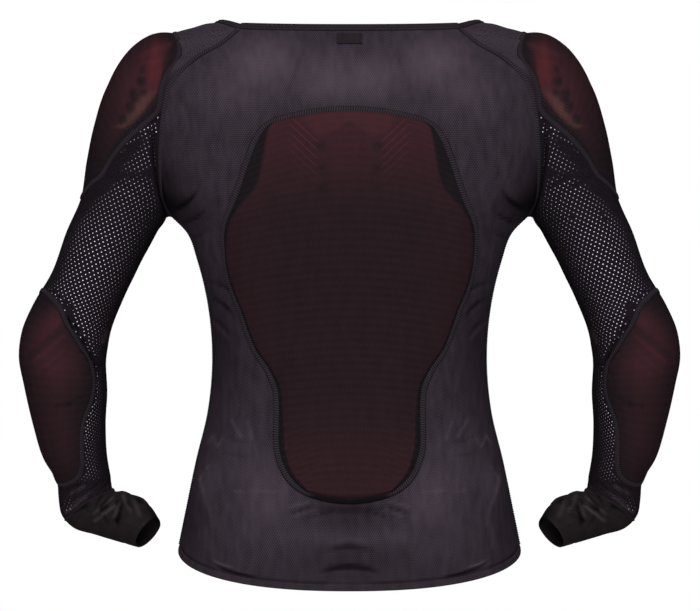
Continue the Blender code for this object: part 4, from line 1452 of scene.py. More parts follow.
    def outline(self) -> tuple[Array, Array]:
        """The pocket's edge as a closed line, with normals.

        Returns:
            The points and the normals.
        """
        loops = []
        for grid in (self.base + self.normals * (LAY_GAP + KNIT_WALL), self.normals):
            sides = (grid[0, :-1], grid[:-1, -1], grid[-1, :0:-1], grid[:0:-1, 0])
            loops.append(np.concatenate(sides))
        return loops[0], loops[1]


@dataclass
class SeamBand:
    """A flatlock seam: a low rounded band of thread laid across the joint, with its ribs."""

    width: float = 6.2 * MM
    height: float = 1.0 * MM
    depth: float = 0.5 * MM
    rib_pitch: float = 2.5 * MM
    rib_height: float = 0.40 * MM
    rib_lean: float = 0.35
    stations_per_rib: int = 4
    ease: int = 9
    dim: float = 0.0
    shaded: tuple[Stroke, ...] = ()

    def add(self, draft: Draft, line: Array, normals: Array, closed: bool) -> None:
        """Lays a band along a line.

        Args:
            draft: the mesh in the making.
            line: points of the seam.
            normals: outward normals there.
            closed: whether the line ends where it starts.
        """
        if closed:
            line, normals = np.concatenate([line, line[:1]]), np.concatenate([normals, normals[:1]])
        length = run_length(line)
        count = max(8, int(length[-1] / self.rib_pitch)) * self.stations_per_rib
        at = np.linspace(0, length[-1], count + 1)
        points = self.eased(spread(at, length, line), closed)
        facing = unit(self.eased(spread(at, length, normals), closed))
        ahead = np.gradient(points, axis=0)
        if closed:
            ahead[0] = ahead[-1] = points[1] - points[-2]
        aside = unit(np.cross(ahead, facing))
        profile = np.linspace(-1, 1, 7)
        phase = np.arange(count + 1)[:, None] / self.stations_per_rib + self.rib_lean * profile[None]
        rib = self.rib_height * np.cos(2 * np.pi * phase) * (1 - profile**6)
        high = self.height * (1 - profile**4) - self.depth * profile**8 + rib
        ring = points[:, None] + aside[:, None] * (profile * self.width / 2)[None, :, None]
        ring = ring + facing[:, None] * high[..., None]
        cloth = laid_flat(profile * self.width / 2, at[:, None])
        numbers = grid_numbers(ring)
        faces = [(grid_faces(np.concatenate([numbers, numbers[:, :1]], axis=1)), 0)]
        if not closed:
            faces += [(numbers[:1], 0), (numbers[-1:, ::-1], 0)]
        # Painted shade between ribs, at the band's edges and under shaded strokes; dim darkens all the band
        groove = np.maximum(0.5 - 0.5 * np.cos(2 * np.pi * phase), profile[None] ** 8)
        groove = np.maximum(groove, np.clip(self.dim + streaks(ring, self.shaded), 0, 1))
        draft.add(ring, faces, cloth=cloth, groove=groove)

    def eased(self, values: Array, closed: bool) -> Array:
        """The same values, averaged over their neighbours so that corners turn softly.

        Args:
            values: a row of points or normals.
            closed: whether the row ends where it starts.

        Returns:
            As many values.
        """
        mode = "wrap" if closed else "edge"
        body = values[:-1] if closed else values
        padded = np.pad(body, ((self.ease, self.ease), (0, 0)), mode=mode)
        weights = np.hanning(2 * self.ease + 3)[1:-1]
        weights = weights / weights.sum()
        smoothed = np.stack([np.convolve(padded[:, i], weights, "valid") for i in range(3)], axis=1)
        if not closed:
            smoothed[0], smoothed[-1] = values[0], values[-1]
            return smoothed
        return np.concatenate([smoothed, smoothed[:1]])


@dataclass
class Perforation:
    """Holes of a spacer mesh, laid out on a sleeve panel as it unrolls round an axis.

    The cloth between the holes stands proud of a backing wall, which lies sunk under it, and each
    hole ends on a disc of the backing's paler yarn.
    """

    panel: Zone
    axis: tuple[tuple[float, float, float], ...]
    across: tuple[float, float]
    along: tuple[float, float]
    hole: float
    start: tuple[float, float, float] = (0.0, -1.0, 0.0)
    step: float = 1.0 * MM
    first_turn: float = -1.5 * math.pi
    reach: float = 0.34
    rays: int = 240
    rise: float = 0.08 * MM
    rim: float = 0.08 * MM
    sink: float = 0.62 * MM
    margin: float = 3.5 * MM
    least_facing: float = 0.30
    widest_gap: float = 12 * MM
    most_pulled: float = 2.0
    sinks_over: tuple[float, float] = (3.0 * MM, 8.0 * MM)
    tuck: float = 0.1 * MM
    disc_rise: float = 0.12 * MM

    def unroll(self, form: SleeveForm) -> tuple[Array, Array]:
        """Unrolls the sleeve round the axis.

        Args:
            form: the sleeve.

        Returns:
            Points by place along the axis and place round it, and the zone numbers there.
        """
        faces = [form.quads(zone) for zone in Zone]
        owner = np.repeat(np.arange(len(faces)), [len(quads) for quads in faces])
        tree = BVHTree.FromPolygons(form.points.reshape(-1, 3).tolist(), np.concatenate(faces).tolist())
        knots = np.array(self.axis)
        fine = along(knots, np.linspace(0, len(knots) - 1, 400))
        length = run_length(fine)
        stops = np.arange(0, length[-1], self.step)
        spine = spread(stops, length, fine)
        ahead = unit(np.gradient(spine, axis=0))
        start = np.array(self.start)
        first = unit(start - ahead * (ahead @ start)[:, None])
        second = np.cross(ahead, first)
        turns = self.first_turn + np.linspace(0, 2 * np.pi, self.rays + 1)
        places = np.arange(-self.reach, self.reach + self.step, self.step)
        sheet = np.full((len(stops), len(places), 3), np.nan)
        zones = np.full((len(stops), len(places)), -1)
        middle = int(np.argmin(np.abs(turns)))
        for i, centre in enumerate(spine):
            hits = np.full((self.rays + 1, 3), np.nan)
            owned = np.full(self.rays + 1, -1)
            for j, turn in enumerate(turns):
                ray = Vector(first[i] * math.cos(turn) + second[i] * math.sin(turn))
                spot, _, face, _ = tree.ray_cast(Vector(centre), ray, 0.25)
                if spot is not None:
                    hits[j], owned[j] = spot, owner[face]
            gaps = np.linalg.norm(np.diff(hits, axis=0), axis=1)
            gaps[gaps > self.widest_gap] = np.nan
            after = np.concatenate([[0], np.cumsum(gaps[middle:])])
            before = -np.concatenate([[0], np.cumsum(gaps[:middle][::-1])])[::-1]
            where = np.concatenate([before[:-1], after])
            known = ~np.isnan(where) & ~np.isnan(hits[:, 0])
            if known.sum() < 8:
                continue
            spots = [np.interp(places, where[known], hits[known, k], np.nan, np.nan) for k in range(3)]
            sheet[i] = np.stack(spots, axis=1)
            beside = np.clip(np.searchsorted(where[known], places), 0, known.sum() - 1)
            zones[i] = np.where(np.isnan(sheet[i, :, 0]), -1, owned[known][beside])
        return sheet, zones

    def sample(self, sheet: Array, t: Array, w: Array) -> Array:
        """An unrolled sheet's points at places along and round, between its own places.

        Args:
            sheet: the unrolled points or normals.
            t: places along the axis.
            w: places round it.

        Returns:
            A point for each place.
        """
        row, column = t / self.step, (w + self.reach) / self.step
        r = np.clip(row.astype(int), 0, sheet.shape[0] - 2)
        c = np.clip(column.astype(int), 0, sheet.shape[1] - 2)
        dr, dc = (row - r)[..., None], (column - c)[..., None]
        top = sheet[r, c] * (1 - dc) + sheet[r, c + 1] * dc
        low = sheet[r + 1, c] * (1 - dc) + sheet[r + 1, c + 1] * dc
        return top * (1 - dr) + low * dr

    def cells(self, form: SleeveForm, edges: Array) -> dict[str, Array]:
        """Finds the whole cells on the panel.

        Args:
            form: the sleeve.
            edges: points of the panel's seams.

        Returns:
            Corners, hole points and their normals, corner numbers and seam distances, by cell.
        """
        sheet, zones = self.unroll(form)
        outward = np.cross(np.gradient(sheet, axis=1), np.gradient(sheet, axis=0))
        outward = unit(np.nan_to_num(outward))
        a, b = np.array(self.across) * MM, np.array(self.along) * MM
        span = int(0.6 / min(np.linalg.norm(a), np.linalg.norm(b)))
        i, j = (axis.ravel() for axis in np.meshgrid(np.arange(-span, span), np.arange(-span, span)))
        t, w = i * a[0] + j * b[0], i * a[1] + j * b[1]
        size = np.linalg.norm(a) + np.linalg.norm(b)
        keep = (t > size) & (t < (sheet.shape[0] - 2) * self.step - size) & (np.abs(w) < self.reach - size)
        i, j, t, w = i[keep], j[keep], t[keep], w[keep]
        owner = zones[(t / self.step).astype(int), ((w + self.reach) / self.step).astype(int)]
        keep = owner == list(Zone).index(self.panel)
        i, j, t, w = i[keep], j[keep], t[keep], w[keep]
        signs = np.array([(-1, -1), (1, -1), (1, 1), (-1, 1)])
        corner_t = t[:, None] + (signs[:, 0] * a[0] + signs[:, 1] * b[0]) / 2
        corner_w = w[:, None] + (signs[:, 0] * a[1] + signs[:, 1] * b[1]) / 2
        turn = np.arctan2(-(a[1] + b[1]), -(a[0] + b[0])) + np.arange(8) * np.pi / 4 - np.pi / 4
        if a[0] * b[1] - a[1] * b[0] < 0:
            turn = turn[0] - (turn - turn[0]) + np.pi / 2
        hole_t = t[:, None] + self.hole * MM * np.cos(turn)
        hole_w = w[:, None] + self.hole * MM * np.sin(turn)
        corners = self.sample(sheet, corner_t, corner_w)
        holes = self.sample(sheet, hole_t, hole_w)
        longest = np.linalg.norm(np.diff(corners, axis=1), axis=2).max(axis=1)
        known = ~np.isnan(corners).any(axis=(1, 2)) & ~np.isnan(holes).any(axis=(1, 2))
        good = known & (longest < self.most_pulled * size)
        middle = np.nan_to_num(corners.mean(axis=1))
        away = nearest(edges, middle)
        facing = np.abs(np.nan_to_num(self.sample(outward, t, w))[:, 1])
        good &= (away > self.margin) & (facing > self.least_facing)
        numbers = np.stack([2 * i[:, None] + signs[:, 0], 2 * j[:, None] + signs[:, 1]], axis=-1)
        return {
            "corners": corners[good],
            "corner_normals": self.sample(outward, corner_t, corner_w)[good],
            "holes": holes[good],
            "hole_normals": self.sample(outward, hole_t, hole_w)[good],
            "numbers": numbers[good],
            "away": away[good],
            "facing": facing[good],
        }

    def depth(self, away: Array, facing: Array) -> Array:
        """How far the backing lies sunk, by the distance to the nearest seam and by its facing."""
        square = smooth(facing, self.least_facing, self.least_facing + 0.3)
        return self.sink * smooth(away, *self.sinks_over) * square


@dataclass
class SleeveNet:
    """The proud net of one mesh panel: a joined mesh of cells, each with its round hole."""

    holes: Perforation
    brightness: float
    # Strokes of painted shade over the holes' yarn, mostly in folds; negative strokes are painted light
    dark: tuple[Stroke, ...]
    seed: int
    brightest: float = 1.6
    pales_over: tuple[float, float] = (2 * MM, 7 * MM)

    def pale(self, middle: Array, away: Array, facing: Array) -> Array:
        """How pale each hole's yarn is: dark near seams and at the sides, with painted shade deep in folds
        and painted light in a few places, else uneven.

        Args:
            middle: the holes' middles.
            away: how far each is from a seam.
            facing: how square on each faces.

        Returns:
            A share for each hole.
        """
        uneven = np.random.default_rng(self.seed).uniform(0.85, 1.10, len(middle))
        shade = np.clip(1 - streaks(middle, self.dark), 0, self.brightest)
        square = smooth(facing, self.holes.least_facing + 0.05, self.holes.least_facing + 0.5)
        return self.brightness * uneven * shade * square * smooth(away, *self.pales_over)

    def add(self, draft: Draft, form: SleeveForm, edges: Array, mirror: Array) -> None:
        """Adds the net.

        Args:
            draft: the mesh in the making.
            form: the right sleeve.
            edges: points of the panel's seams.
            mirror: factors for x, y and z; a negative x makes the left sleeve.
        """
        cells = self.holes.cells(form, edges)
        count = len(cells["corners"])
        keys = cells["numbers"].reshape(-1, 2)
        _, group, uses = np.unique(keys, axis=0, return_inverse=True, return_counts=True)
        whole = (uses[group.ravel()] == 4).reshape(count, 4)
        sunk = self.holes.depth(cells["away"], cells["facing"])[:, None]
        height = np.where(whole, self.holes.rise, -sunk - self.holes.tuck)
        corners = cells["corners"] + cells["corner_normals"] * height[..., None]
        rims = cells["holes"] + cells["hole_normals"] * self.holes.rim
        floor = np.maximum(sunk - self.holes.disc_rise, 0.0)
        discs = cells["holes"] - cells["hole_normals"] * floor[..., None]
        points = np.concatenate([corners, rims, discs], axis=1)
        middle = cells["corners"].mean(axis=1)
        pale = np.repeat(self.pale(middle, cells["away"], cells["facing"])[:, None], points.shape[1], axis=1)
        first = np.arange(count)[:, None] * points.shape[1]
        near, rim, disc = np.arange(4), 4 + np.arange(8), 12 + np.arange(8)
        nooks = [(near[k], rim[2 * k], rim[2 * k + 1]) for k in range(4)]
        bars = [(near[k], rim[2 * k + 1], rim[(2 * k + 2) % 8], near[(k + 1) % 4]) for k in range(4)]
        sides = [(rim[k], disc[k], disc[(k + 1) % 8], rim[(k + 1) % 8]) for k in range(8)]
        faces = []
        for shapes, finish in ((nooks, 0), (bars, 0), (sides, 0), ([disc], 1)):
            faces.append((np.concatenate([first + np.array(shape) for shape in shapes]), finish))
        if mirror[0] > 0:
            faces = [(corners[:, ::-1], finish) for corners, finish in faces]
        cloth = laid_flat(points[..., 2], points[..., 1])
        # Painted highlights on wrinkle ridges, as on the backing wall
        draft.add(points * mirror, faces, cloth=cloth, pale=pale, sheen=streaks(points, SLEEVE_LINES))


UPPER_NET = SleeveNet(
    Perforation(
        Zone.UPPER,
        ((0.203, 0, -0.06), (0.222, 0, -0.115), (0.243, 0, -0.175), (0.268, 0, -0.24),
         (0.284, 0, -0.285), (0.296, -0.004, -0.33), (0.299, -0.006, -0.378)),
        (-3.18, 3.04), (3.67, 2.61),
        0.7,
    ),
    0.95,
    # Painted shade over the holes' yarn; negative strokes are painted light
    table(
        Stroke,
        (290, -186, 252, -150, 9, 0.95), (252, -150, 206, -146, 5, 0.6), (206, -146, 192, -196, 9, 0.9),
        (262, -150, 222, -112, 9, 0.8), (232, -130, 206, -124, 24, 0.3), (262, -170, 230, -180, 40, 0.3),
        (277, -309, 255, -296, 2.2, 0.6), (280, -358, 262, -352, 5, 0.9), (285, -174, 322, -268, 8, 0.7),
        (284, -318, 262, -308, 14, -0.6),
    ),
    11,
)
FOREARM_NET = SleeveNet(
    Perforation(
        Zone.FOREARM,
        ((0.29, -0.01, -0.3), (0.3, -0.01, -0.345), (0.299, -0.006, -0.39), (0.294, 0, -0.43),
         (0.284, 0.005, -0.47), (0.276, 0.007, -0.497), (0.262, 0.008, -0.506)),
        (4.1, 0), (2.05, 3.1),
        0.66,
    ),
    0.8,
    # Painted shade over the holes' yarn; negative strokes are painted light
    table(
        Stroke,
        (258, -336, 284, -358, 8, 0.95), (257, -360, 258, -470, 6, 0.85),
        (240, -448, 300, -448, 20, 0.66), (264, -392, 288, -392, 20, -0.5),
        (312, -494, 280, -500, 10, 0.45), (240, -478, 320, -480, 12, 0.95),
        (240, -500, 278, -496, 14, 0.85), (240, -520, 320, -520, 9, 0.85),
    ),
    12,
)
YOKE_NET = SleeveNet(
    Perforation(
        Zone.YOKE,
        ((0.165, -0.095, -0.06), (0.165, -0.03, -0.06), (0.165, 0.03, -0.06), (0.165, 0.095, -0.06)),
        (2.6, 2.6), (2.6, -2.6),
        0.95,
        (0, 0, 1),
        first_turn=-math.pi,
        least_facing=0,
    ),
    0.03,
    (),
    13,
)


@dataclass
class Sleeve:
    """One sleeve: mesh panels with their nets, padded caps with their pads, and a cuff."""

    side: str
    form: SleeveForm
    fine: SleeveForm
    pad_edge: float = 2.5 * MM
    pad_middle: float = 8.0 * MM
    cuff_hem: float = 14 * MM
    cuff_groove: float = 0.5 * MM
    cuff_groove_width: float = 1.5 * MM

    def __post_init__(self) -> None:
        """Keeps the factors that turn the right sleeve into this one."""
        self.mirror = np.array([1.0 if self.side == "right" else -1.0, 1.0, 1.0])

    def panel(self, form: SleeveForm, zone: Zone, finish: Finish, slot: str, outer: Array, inner: Array,
              **values: Array) -> Piece:
        """Makes the closed wall of one panel from points of the whole sleeve's grid.

        Args:
            form: the sleeve's grid.
            zone: the panel.
            finish: its cloth.
            slot: its material slot.
            outer: the outer face's points.
            inner: the inner face's points.
            values: point values.

        Returns:
            The new piece.
        """
        quads = form.quads(zone)
        used, again = np.unique(quads, return_inverse=True)
        quads = again.reshape(quads.shape)
        if self.mirror[0] < 0:
            quads = quads[:, ::-1]
        picked = {name: value.reshape((-1,) + value.shape[2:])[used] for name, value in values.items()}
        draft = Draft()
        faces = (face.reshape(-1, 3)[used] * self.mirror for face in (outer, inner))
        wall(draft, quads, *faces, cloth=form.cloth.reshape(-1, 3)[used], **picked)
        name = f"{zone.value}_{self.side}"
        return place(draft.make(f"{name}_cloth", [finish.material()]), slot, name)

    def mesh_panel(self, net: SleeveNet) -> tuple[Piece, Piece]:
        """Makes a mesh panel: its backing wall, sunk away from the seams, and the net over it.

        Args:
            net: the panel's net.

        Returns:
            The wall and the net.
        """
        form = self.form
        rim = np.unique(border(form.quads(net.holes.panel)))
        points = form.points.reshape(-1, 3)
        edges = points[rim]
        away = nearest(edges, points)
        facing = np.abs(form.normals[..., 1])
        sunk = net.holes.depth(away.reshape(facing.shape), facing)
        outer = form.points - form.normals * sunk[..., None]
        inner = form.points - form.normals * MESH_WALL
        finish = CLOSE_MESH if net.holes.panel is Zone.YOKE else SPACER_MESH
        _, up = seen(form.plain)
        # Painted highlights on wrinkle ridges; the yoke's close mesh is also painted darker further down
        backing = self.panel(form, net.holes.panel, finish, "spacer_mesh", outer, inner,
                             sheen=streaks(form.plain, SLEEVE_LINES), shade=0.75 * smooth(-up, 26, 50))
        draft = Draft()
        net.add(draft, form, edges, self.mirror)
        name = f"{net.holes.panel.value}_{self.side}_net"
        over = draft.make(name, [finish.material(), BACK_YARN.material()], sharp=0.6)
        return backing, place(over, "spacer_mesh")

    def cap(self, zone: Zone, marks: CapMarks) -> Piece:
        """Makes a cap of thin cloth, with what shows of the pad under it.

        Args:
            zone: the cap.
            marks: what shows.

        Returns:
            The new piece.
        """
        form = self.fine
        top, bottom = form.span(zone)
        here = (slice(top, bottom + 1), slice(0, form.split + 1))
        points = form.points[here]
        out, up = seen(points)
        down = 1 - np.abs(np.linspace(-1, 1, bottom - top + 1))
        across = 1 - np.abs(np.linspace(-1, 1, form.split + 1))
        clear = np.outer(smooth(down, 0.01, 0.10), smooth(across, 0.02, 0.12))
        inside = out - np.interp(-up, *zip(*marks.edge))
        clear = clear * (0.35 + 0.65 * smooth(inside, -1.5, 2.0))
        first, last = marks.pale_span
        band = np.exp(-(((inside - 6.5) / 7.5) ** 2))
        band = band * smooth(-up, first, first + 16) * smooth(up, -last, 6 - last)
        centre_out, centre_up, near, far, pitch = marks.fan
        radius = np.hypot(out - centre_out, up - centre_up)
        turn = np.arctan2(up - centre_up, out - centre_out)
        fan = smooth(radius, near - 1, near + 1) * smooth(-radius, -far - 1, 1 - far)
        fan = fan * smooth(turn, 0.2, 1.2)
        lines = streaks(points, marks.red_lines)
        clear = clear * (1 - np.clip(-1.5 * lines, 0, 0.8))
        painted = {
            "show": clear * np.clip(paint(points, marks.red) + lines, 0, 1),
            "flush": clear * paint(points, marks.flush),
            "bloom": clear * 0.48 * band,
            "rib": clear * 0.45 * fan,
            "phase": turn * (near + far) / 2 / pitch,
            "relief": clear * np.clip(streaks(points, marks.relief), 0, None) * MM,
        }
        whole = {}
        for name, value in painted.items():
            whole[name] = np.zeros(form.points.shape[:2])
            whole[name][here] = value
        outer = form.points + form.normals * whole.pop("relief")[..., None]
        inner = outer - form.normals * KNIT_WALL
        return self.panel(form, zone, STRETCH_KNIT, "stretch_knit", outer, inner, **whole)

    def pad(self, zone: Zone, name: str) -> Piece:
        """Makes the foam pad just under a cap: thin at its edges and thick in its middle.

        Args:
            zone: the cap.
            name: the pad's name, without its side.

        Returns:
            The new piece.
        """
        form = self.form
        top, bottom = form.span(zone)
        keep = (slice(top + 8, bottom - 7, 2), slice(8, form.split - 7, 2))
        points, normals = form.points[keep], form.normals[keep]
        rows, columns = points.shape[:2]
        middle = np.outer(swell(np.linspace(-1, 1, rows)), swell(np.linspace(-1, 1, columns)))
        thick = self.pad_edge + (self.pad_middle - self.pad_edge) * middle
        outer = points - normals * (KNIT_WALL + SEAM_GAP)
        inner = outer - normals * thick[..., None]
        faces = (outer * self.mirror, inner * self.mirror)
        turned = self.mirror[0] > 0
        foam = slab(f"{name}_{self.side}_foam", MOULDED_FOAM, *faces, turned, cloth=form.cloth[keep])
        place(foam, "pad_foam", f"{name}_{self.side}")
        return foam

    def cuff(self) -> Piece:
        """Makes the cuff, two layers thick in its hem.

        Returns:
            The new piece.
        """
        form = self.form
        to_end = form.down[-1] - form.down
        hem = 1 - smooth(to_end, self.cuff_hem - 1 * MM, self.cuff_hem + 1 * MM)
        groove = self.cuff_groove * np.exp(-(((to_end - self.cuff_hem) / self.cuff_groove_width) ** 2))
        outer = form.points - form.normals * groove[:, None, None]
        inner = outer - form.normals * (CUFF_WALL * (1 + 0.4 * hem))[:, None, None]
        # Painted shade in the folds' troughs, and painted highlights on wrinkle ridges
        shade = 0.8 * smooth(-form.move, 0.4 * MM, 2.6 * MM)
        return self.panel(form, Zone.CUFF, CUFF_KNIT, "cuff_knit", outer, inner, shade=shade,
                          sheen=streaks(form.plain, SLEEVE_LINES))

    def cap_edge(self, zone: Zone) -> Array:
        """The numbers of the points round a cap.

        Args:
            zone: the cap.

        Returns:
            The numbers in order, as a closed line.
        """
        form = self.form
        top, bottom = form.span(zone)
        back, front = (form.numbers(top, bottom, column, column)[:, 0] for column in (0, form.split))
        upper, lower = (form.numbers(row, row, 0, form.split)[0] for row in (top, bottom))
        return np.concatenate([upper[:-1], front[:-1], lower[:0:-1], back[:0:-1]])

    def seams(self) -> Piece:
        """Makes the sleeve's flatlock seams.

        Returns:
            The new piece.
        """
        form = self.form
        raglan, *_, cuff, _ = form.rows
        neck_back, neck_front = (stop * form.columns // COLUMNS for stop in NECK_COLUMNS)
        round_cap = SeamBand(height=1.3 * MM, ease=28, dim=0.40)
        round_cuff = SeamBand(width=3.0 * MM, height=0.5 * MM, dim=0.60)
        lines = [
            (form.numbers(raglan, raglan, neck_front, form.columns + neck_back)[0], False, SeamBand()),
            (self.cap_edge(Zone.SHOULDER_CAP), True, round_cap),
            (self.cap_edge(Zone.ELBOW_CAP), True, round_cap),
            (form.numbers(cuff, cuff, 0, form.columns - 1)[0], True, round_cuff),
        ]
        points, normals = form.points.reshape(-1, 3) * self.mirror, form.normals.reshape(-1, 3) * self.mirror
        draft = Draft()
        for numbers, closed, band in lines:
            band.add(draft, points[numbers], normals[numbers], closed)
        return place(draft.make(f"sleeve_seams_{self.side}", [SEAM_THREAD.material()]), "trim_tape")

    def build(self) -> dict[str, Piece]:
        """Makes the whole sleeve.

        Returns:
            Its pieces by their solid's name, and the nets and seams by their own.
        """
        made: dict[str, Piece] = {}
        for net in (UPPER_NET, FOREARM_NET, YOKE_NET):
            stem = f"{net.holes.panel.value}_{self.side}"
            made[stem], made[f"{stem}_net"] = self.mesh_panel(net)
        made[f"shoulder_cap_{self.side}"] = self.cap(Zone.SHOULDER_CAP, SHOULDER_MARKS)
        made[f"elbow_cap_{self.side}"] = self.cap(Zone.ELBOW_CAP, ELBOW_MARKS)
        self.pad(Zone.SHOULDER_CAP, "shoulder_pad")
        self.pad(Zone.ELBOW_CAP, "elbow_pad")
        made[f"cuff_{self.side}"] = self.cuff()
        made[f"seams_{self.side}"] = self.seams()
        return made


@dataclass
class NeckTrim:
    """The folded binding round the neck, and the bare label under it."""

    stations: int = 80
    width: float = 8.0 * MM
    thickness: float = 2.6 * MM
    upright: float = 0.35
    stitch_rows: tuple[float, float] = (1.6 * MM, 4.6 * MM)
    stitch_pitch: float = 3.4 * MM
    stitch_length: float = 2.3 * MM
    stitch_lift: float = 0.15 * MM
    label_width: float = 26 * MM
    label_height: float = 11 * MM
    label_thickness: float = 1.0 * MM
    label_level: float = 15.75

    def edge(self, form: SleeveForm) -> tuple[Array, Array]:
        """The neck edge as a closed line from the back's right end round by the left, with normals.

        Args:
            form: the right sleeve.

        Returns:
            The points and the normals.
        """
        start, end = (stop * form.columns // COLUMNS for stop in NECK_COLUMNS)
        levels = (NECK - 0.05, NECK)
        back = np.array([BACK.row(level, self.stations) for level in levels])
        front = np.array([FRONT.row(level, self.stations)[::-1] for level in levels])
        left = np.array([-1.0, 1.0, 1.0])
        yoke, yoke_normals = form.points[0, start : end + 1], form.normals[0, start : end + 1]
        lines = [back[1, ::-1], yoke * left, front[1, ::-1], yoke[::-1]]
        back_normals, front_normals = grid_normals(back)[1, ::-1], grid_normals(front)[1, ::-1]
        facing = [back_normals, yoke_normals * left, front_normals, yoke_normals[::-1]]
        return np.concatenate([line[:-1] for line in lines]), np.concatenate([line[:-1] for line in facing])

    def rising(self, line: Array, normals: Array) -> Array:
        """Which way the binding stands from the neck edge: on along the cloth, and somewhat up."""
        ahead = unit(np.roll(line, -1, axis=0) - np.roll(line, 1, axis=0))
        return unit(unit(np.cross(ahead, normals)) + np.array([0.0, 0.0, self.upright]))

    def binding(self, form: SleeveForm) -> Piece:
        """Makes the binding: a rounded fold over the neck edge, with its edge stitched down.

        Args:
            form: the right sleeve.

        Returns:
            The new piece.
        """
        line, normals = self.edge(form)
        for _ in range(3):
            normals = unit(normals * 2 + np.roll(normals, 1, axis=0) + np.roll(normals, -1, axis=0))
        away = self.rising(line, normals)
        turn = np.linspace(0, np.pi, 11)
        out = (self.thickness / 2) * np.cos(turn) * (1 - 0.16 * np.cos(2 * turn + np.pi))
        rise = self.width * np.sqrt(np.maximum(np.sin(turn), 0))
        ring = line[:, None] + away[:, None] * (SEAM_GAP / 2 + rise)[None, :, None]
        ring = ring + normals[:, None] * (out - KNIT_WALL / 2)[None, :, None]
        at = grid_numbers(ring)
        at = np.concatenate([at, at[:1]])
        at = np.concatenate([at, at[:, :1]], axis=1)
        cloth = laid_flat(rise, run_length(line)[:, None])
        draft = Draft()
        draft.add(ring, [(grid_faces(at), 0)], cloth=cloth)
        piece = draft.make("neck_binding_tape", [WOVEN_TAPE.material()])
        return place(piece, "trim_tape", "neck_binding")

    def stitches(self, form: SleeveForm) -> Piece:
        """Makes the stitch row that holds the binding's edge down.

        Args:
            form: the right sleeve.

        Returns:
            The new piece.
        """
        line, normals = self.edge(form)
        away = self.rising(line, normals)
        lift = self.thickness / 2 - KNIT_WALL / 2 + self.stitch_lift
        draft = Draft()
        for height in self.stitch_rows:
            row = line + away * height + normals * lift
            stitch(draft, row, normals, self.stitch_pitch, self.stitch_length)
        return place(draft.make("neck_binding_stitches", [SEAM_THREAD.material()]), "trim_tape")

    def label(self) -> Piece:
        """Makes the bare label, sewn under the binding at the back.

        Returns:
            The new piece.
        """
        top = BACK.points(np.array([self.label_level]), np.zeros(1))[0, 2]
        out = np.linspace(-self.label_width / 2, self.label_width / 2, 15)
        heights = np.linspace(top - self.label_height, top, 9)
        across, up = np.meshgrid(out, heights)
        base = BACK.at(across, up)
        normals = grid_normals(base)
        inner = base + normals * LAY_GAP
        outer = inner + normals * self.label_thickness
        tape = slab("neck_label_tape", WOVEN_TAPE, outer, inner, cloth=laid_flat(across, up))
        return place(tape, "trim_tape", "neck_label")

    def build(self, form: SleeveForm) -> dict[str, Piece]:
        """Makes the binding, its stitches and the label.

        Args:
            form: the right sleeve, whose yoke has the neck's sides.

        Returns:
            The pieces by their solid's name, and the stitches by their own.
        """
        return {
            "neck_binding": self.binding(form),
            "neck_stitches": self.stitches(form),
            "neck_label": self.label(),
        }


@dataclass
class TorsoSeams:
    """The side seams, the seam round the pocket, and the coverstitched hem."""

    hem_rows: tuple[float, ...] = (HEM_HEIGHT - 1.5 * MM, HEM_HEIGHT - 5.0 * MM)
    stitch_pitch: float = 3.2 * MM
    stitch_length: float = 2.3 * MM
    stitch_lift: float = 0.12 * MM

    def build(self, torso: TorsoPanels, pocket: BackPocket) -> dict[str, Piece]:
        """Makes the seams and the hem's stitches.

        Args:
            torso: the panels that the seams join.
            pocket: the pocket that is sewn on.

        Returns:
            The two joined pieces by name.
        """
        draft = Draft()
        below = BACK.edges(np.linspace(0.12, UNDERARM, 60))
        for side in (1.0, -1.0):
            normals = np.broadcast_to(np.array([side, 0.0, 0.0]), below.shape)
            SeamBand().add(draft, below * np.array([side, 1.0, 1.0]), normals, False)
        line, normals = pocket.outline()
        SeamBand(width=7.8 * MM, height=1.3 * MM, depth=1.8 * MM, ease=14, shaded=POCKET_SHADE).add(
            draft, line, normals, True
        )
        seams = place(draft.make("torso_seams", [SEAM_THREAD.material()]), "trim_tape")
        draft = Draft()
        for panel in (torso.back, torso.front):
            column = np.arange(panel.points.shape[1])
            for height in self.hem_rows:
                row = np.array([np.interp(height, up, np.arange(len(up))) for up in panel.cloth[..., 1].T])
                low = row.astype(int)
                share = (row - low)[:, None]
                line = panel.points[low, column] * (1 - share) + panel.points[low + 1, column] * share
                facing = panel.normals[low, column]
                line = line + facing * self.stitch_lift
                stitch(draft, line, facing, self.stitch_pitch, self.stitch_length)
        hem = place(draft.make("hem_stitches", [SEAM_THREAD.material()]), "trim_tape")
        return {"torso_seams": seams, "hem_stitches": hem}


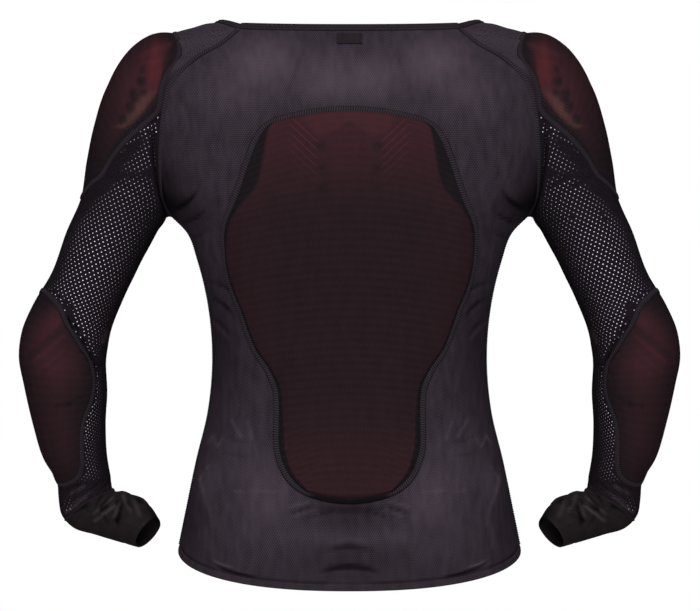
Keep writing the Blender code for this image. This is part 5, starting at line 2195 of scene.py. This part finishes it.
@dataclass
class Studio:
    """A plain pale floor, soft light and the camera straight behind the shirt."""

    floor_height: float = -1.25
    floor_radius: float = 2.4
    light_distance: float = 2.6
    light_height: float = 1.3
    light_size: tuple[float, float] = (1.8, 1.2)
    aim_height: float = -0.25
    key_watts: float = 170.0
    front_watts: float = 150.0

    def lights(self) -> None:
        """Adds a soft area light on the camera's side and one on the other."""
        behind = ("key", -self.light_distance, self.key_watts)
        before = ("front", self.light_distance, self.front_watts)
        for name, depth, watts in (behind, before):
            lamp = bpy.data.lights.new(name, "AREA")
            lamp.shape = "RECTANGLE"
            lamp.size, lamp.size_y = self.light_size
            lamp.energy = watts
            shown = bpy.data.objects.new(name, lamp)
            at = Vector((0, depth, self.light_height))
            shown.location = at
            shown.rotation_euler = (Vector((0, 0, self.aim_height)) - at).to_track_quat("-Z", "Y").to_euler()
            bpy.context.collection.objects.link(shown)

    def floor(self) -> None:
        """Adds the round pale floor."""
        turn = np.linspace(0, 2 * np.pi, 64, endpoint=False)
        rim = np.stack([np.cos(turn), np.sin(turn), np.zeros(64)], axis=1) * self.floor_radius
        draft = Draft()
        draft.add(rim + np.array([0, 0, self.floor_height]), [(np.arange(64)[None], 0)])
        paper = bpy.data.materials.new("matt white paper")
        paper.use_nodes = True
        shader = paper.node_tree.nodes["Principled BSDF"]
        shader.inputs["Base Color"].default_value = linear("#dcdcdc")
        shader.inputs["Roughness"].default_value = 0.9
        draft.make("floor", [paper])

    def build(self) -> None:
        """Sets the world, the lights, the floor and the camera."""
        scene = bpy.context.scene
        scene.view_settings.view_transform = "Standard"
        world = bpy.data.worlds.new("white studio")
        world.use_nodes = True
        glow = world.node_tree.nodes["Background"].inputs
        glow["Color"].default_value = (1, 1, 1, 1)
        glow["Strength"].default_value = 1.0
        scene.world = world
        self.floor()
        self.lights()
        camera = bpy.data.cameras.new("camera")
        camera.sensor_width = SENSOR_WIDTH
        camera.lens = SENSOR_WIDTH * CAMERA_DISTANCE / FRAME_WIDTH
        shown = bpy.data.objects.new("camera", camera)
        shown.location = (CAMERA_ASIDE, -CAMERA_DISTANCE, CAMERA_HEIGHT)
        shown.rotation_euler = (math.pi / 2, 0.0, 0.0)
        bpy.context.collection.objects.link(shown)
        scene.camera = shown


def declare(made: dict[str, Piece]) -> None:
    """Looks up every sheet of cloth's flat cut and the pieces sewn on it, and does nothing more with them.

    Args:
        made: the pieces by name.
    """
    cuts = dict(CUTS)
    for side in SIDES:
        for stem, cut in SIDED_CUTS.items():
            sewn_on = tuple(name.format(side=side) for name in cut.sewn_on)
            cuts[f"{stem}_{side}"] = cut._replace(sewn_on=sewn_on)
    for name, cut in cuts.items():
        sewn_on = [made[other] for other in cut.sewn_on]


def main() -> None:
    logging.basicConfig(level=logging.INFO, format="%(message)s")
    made: dict[str, Piece] = {}
    torso, pocket = TorsoPanels(), BackPocket()
    made.update(torso.build())
    made.update(pocket.build())
    form, fine = SleeveForm(), SleeveForm(finer=2)
    for side in SIDES:
        made.update(Sleeve(side, form, fine).build())
    made.update(NeckTrim().build(form))
    made.update(TorsoSeams().build(torso, pocket))
    declare(made)
    Studio().build()


if __name__ == "__main__":
    main()
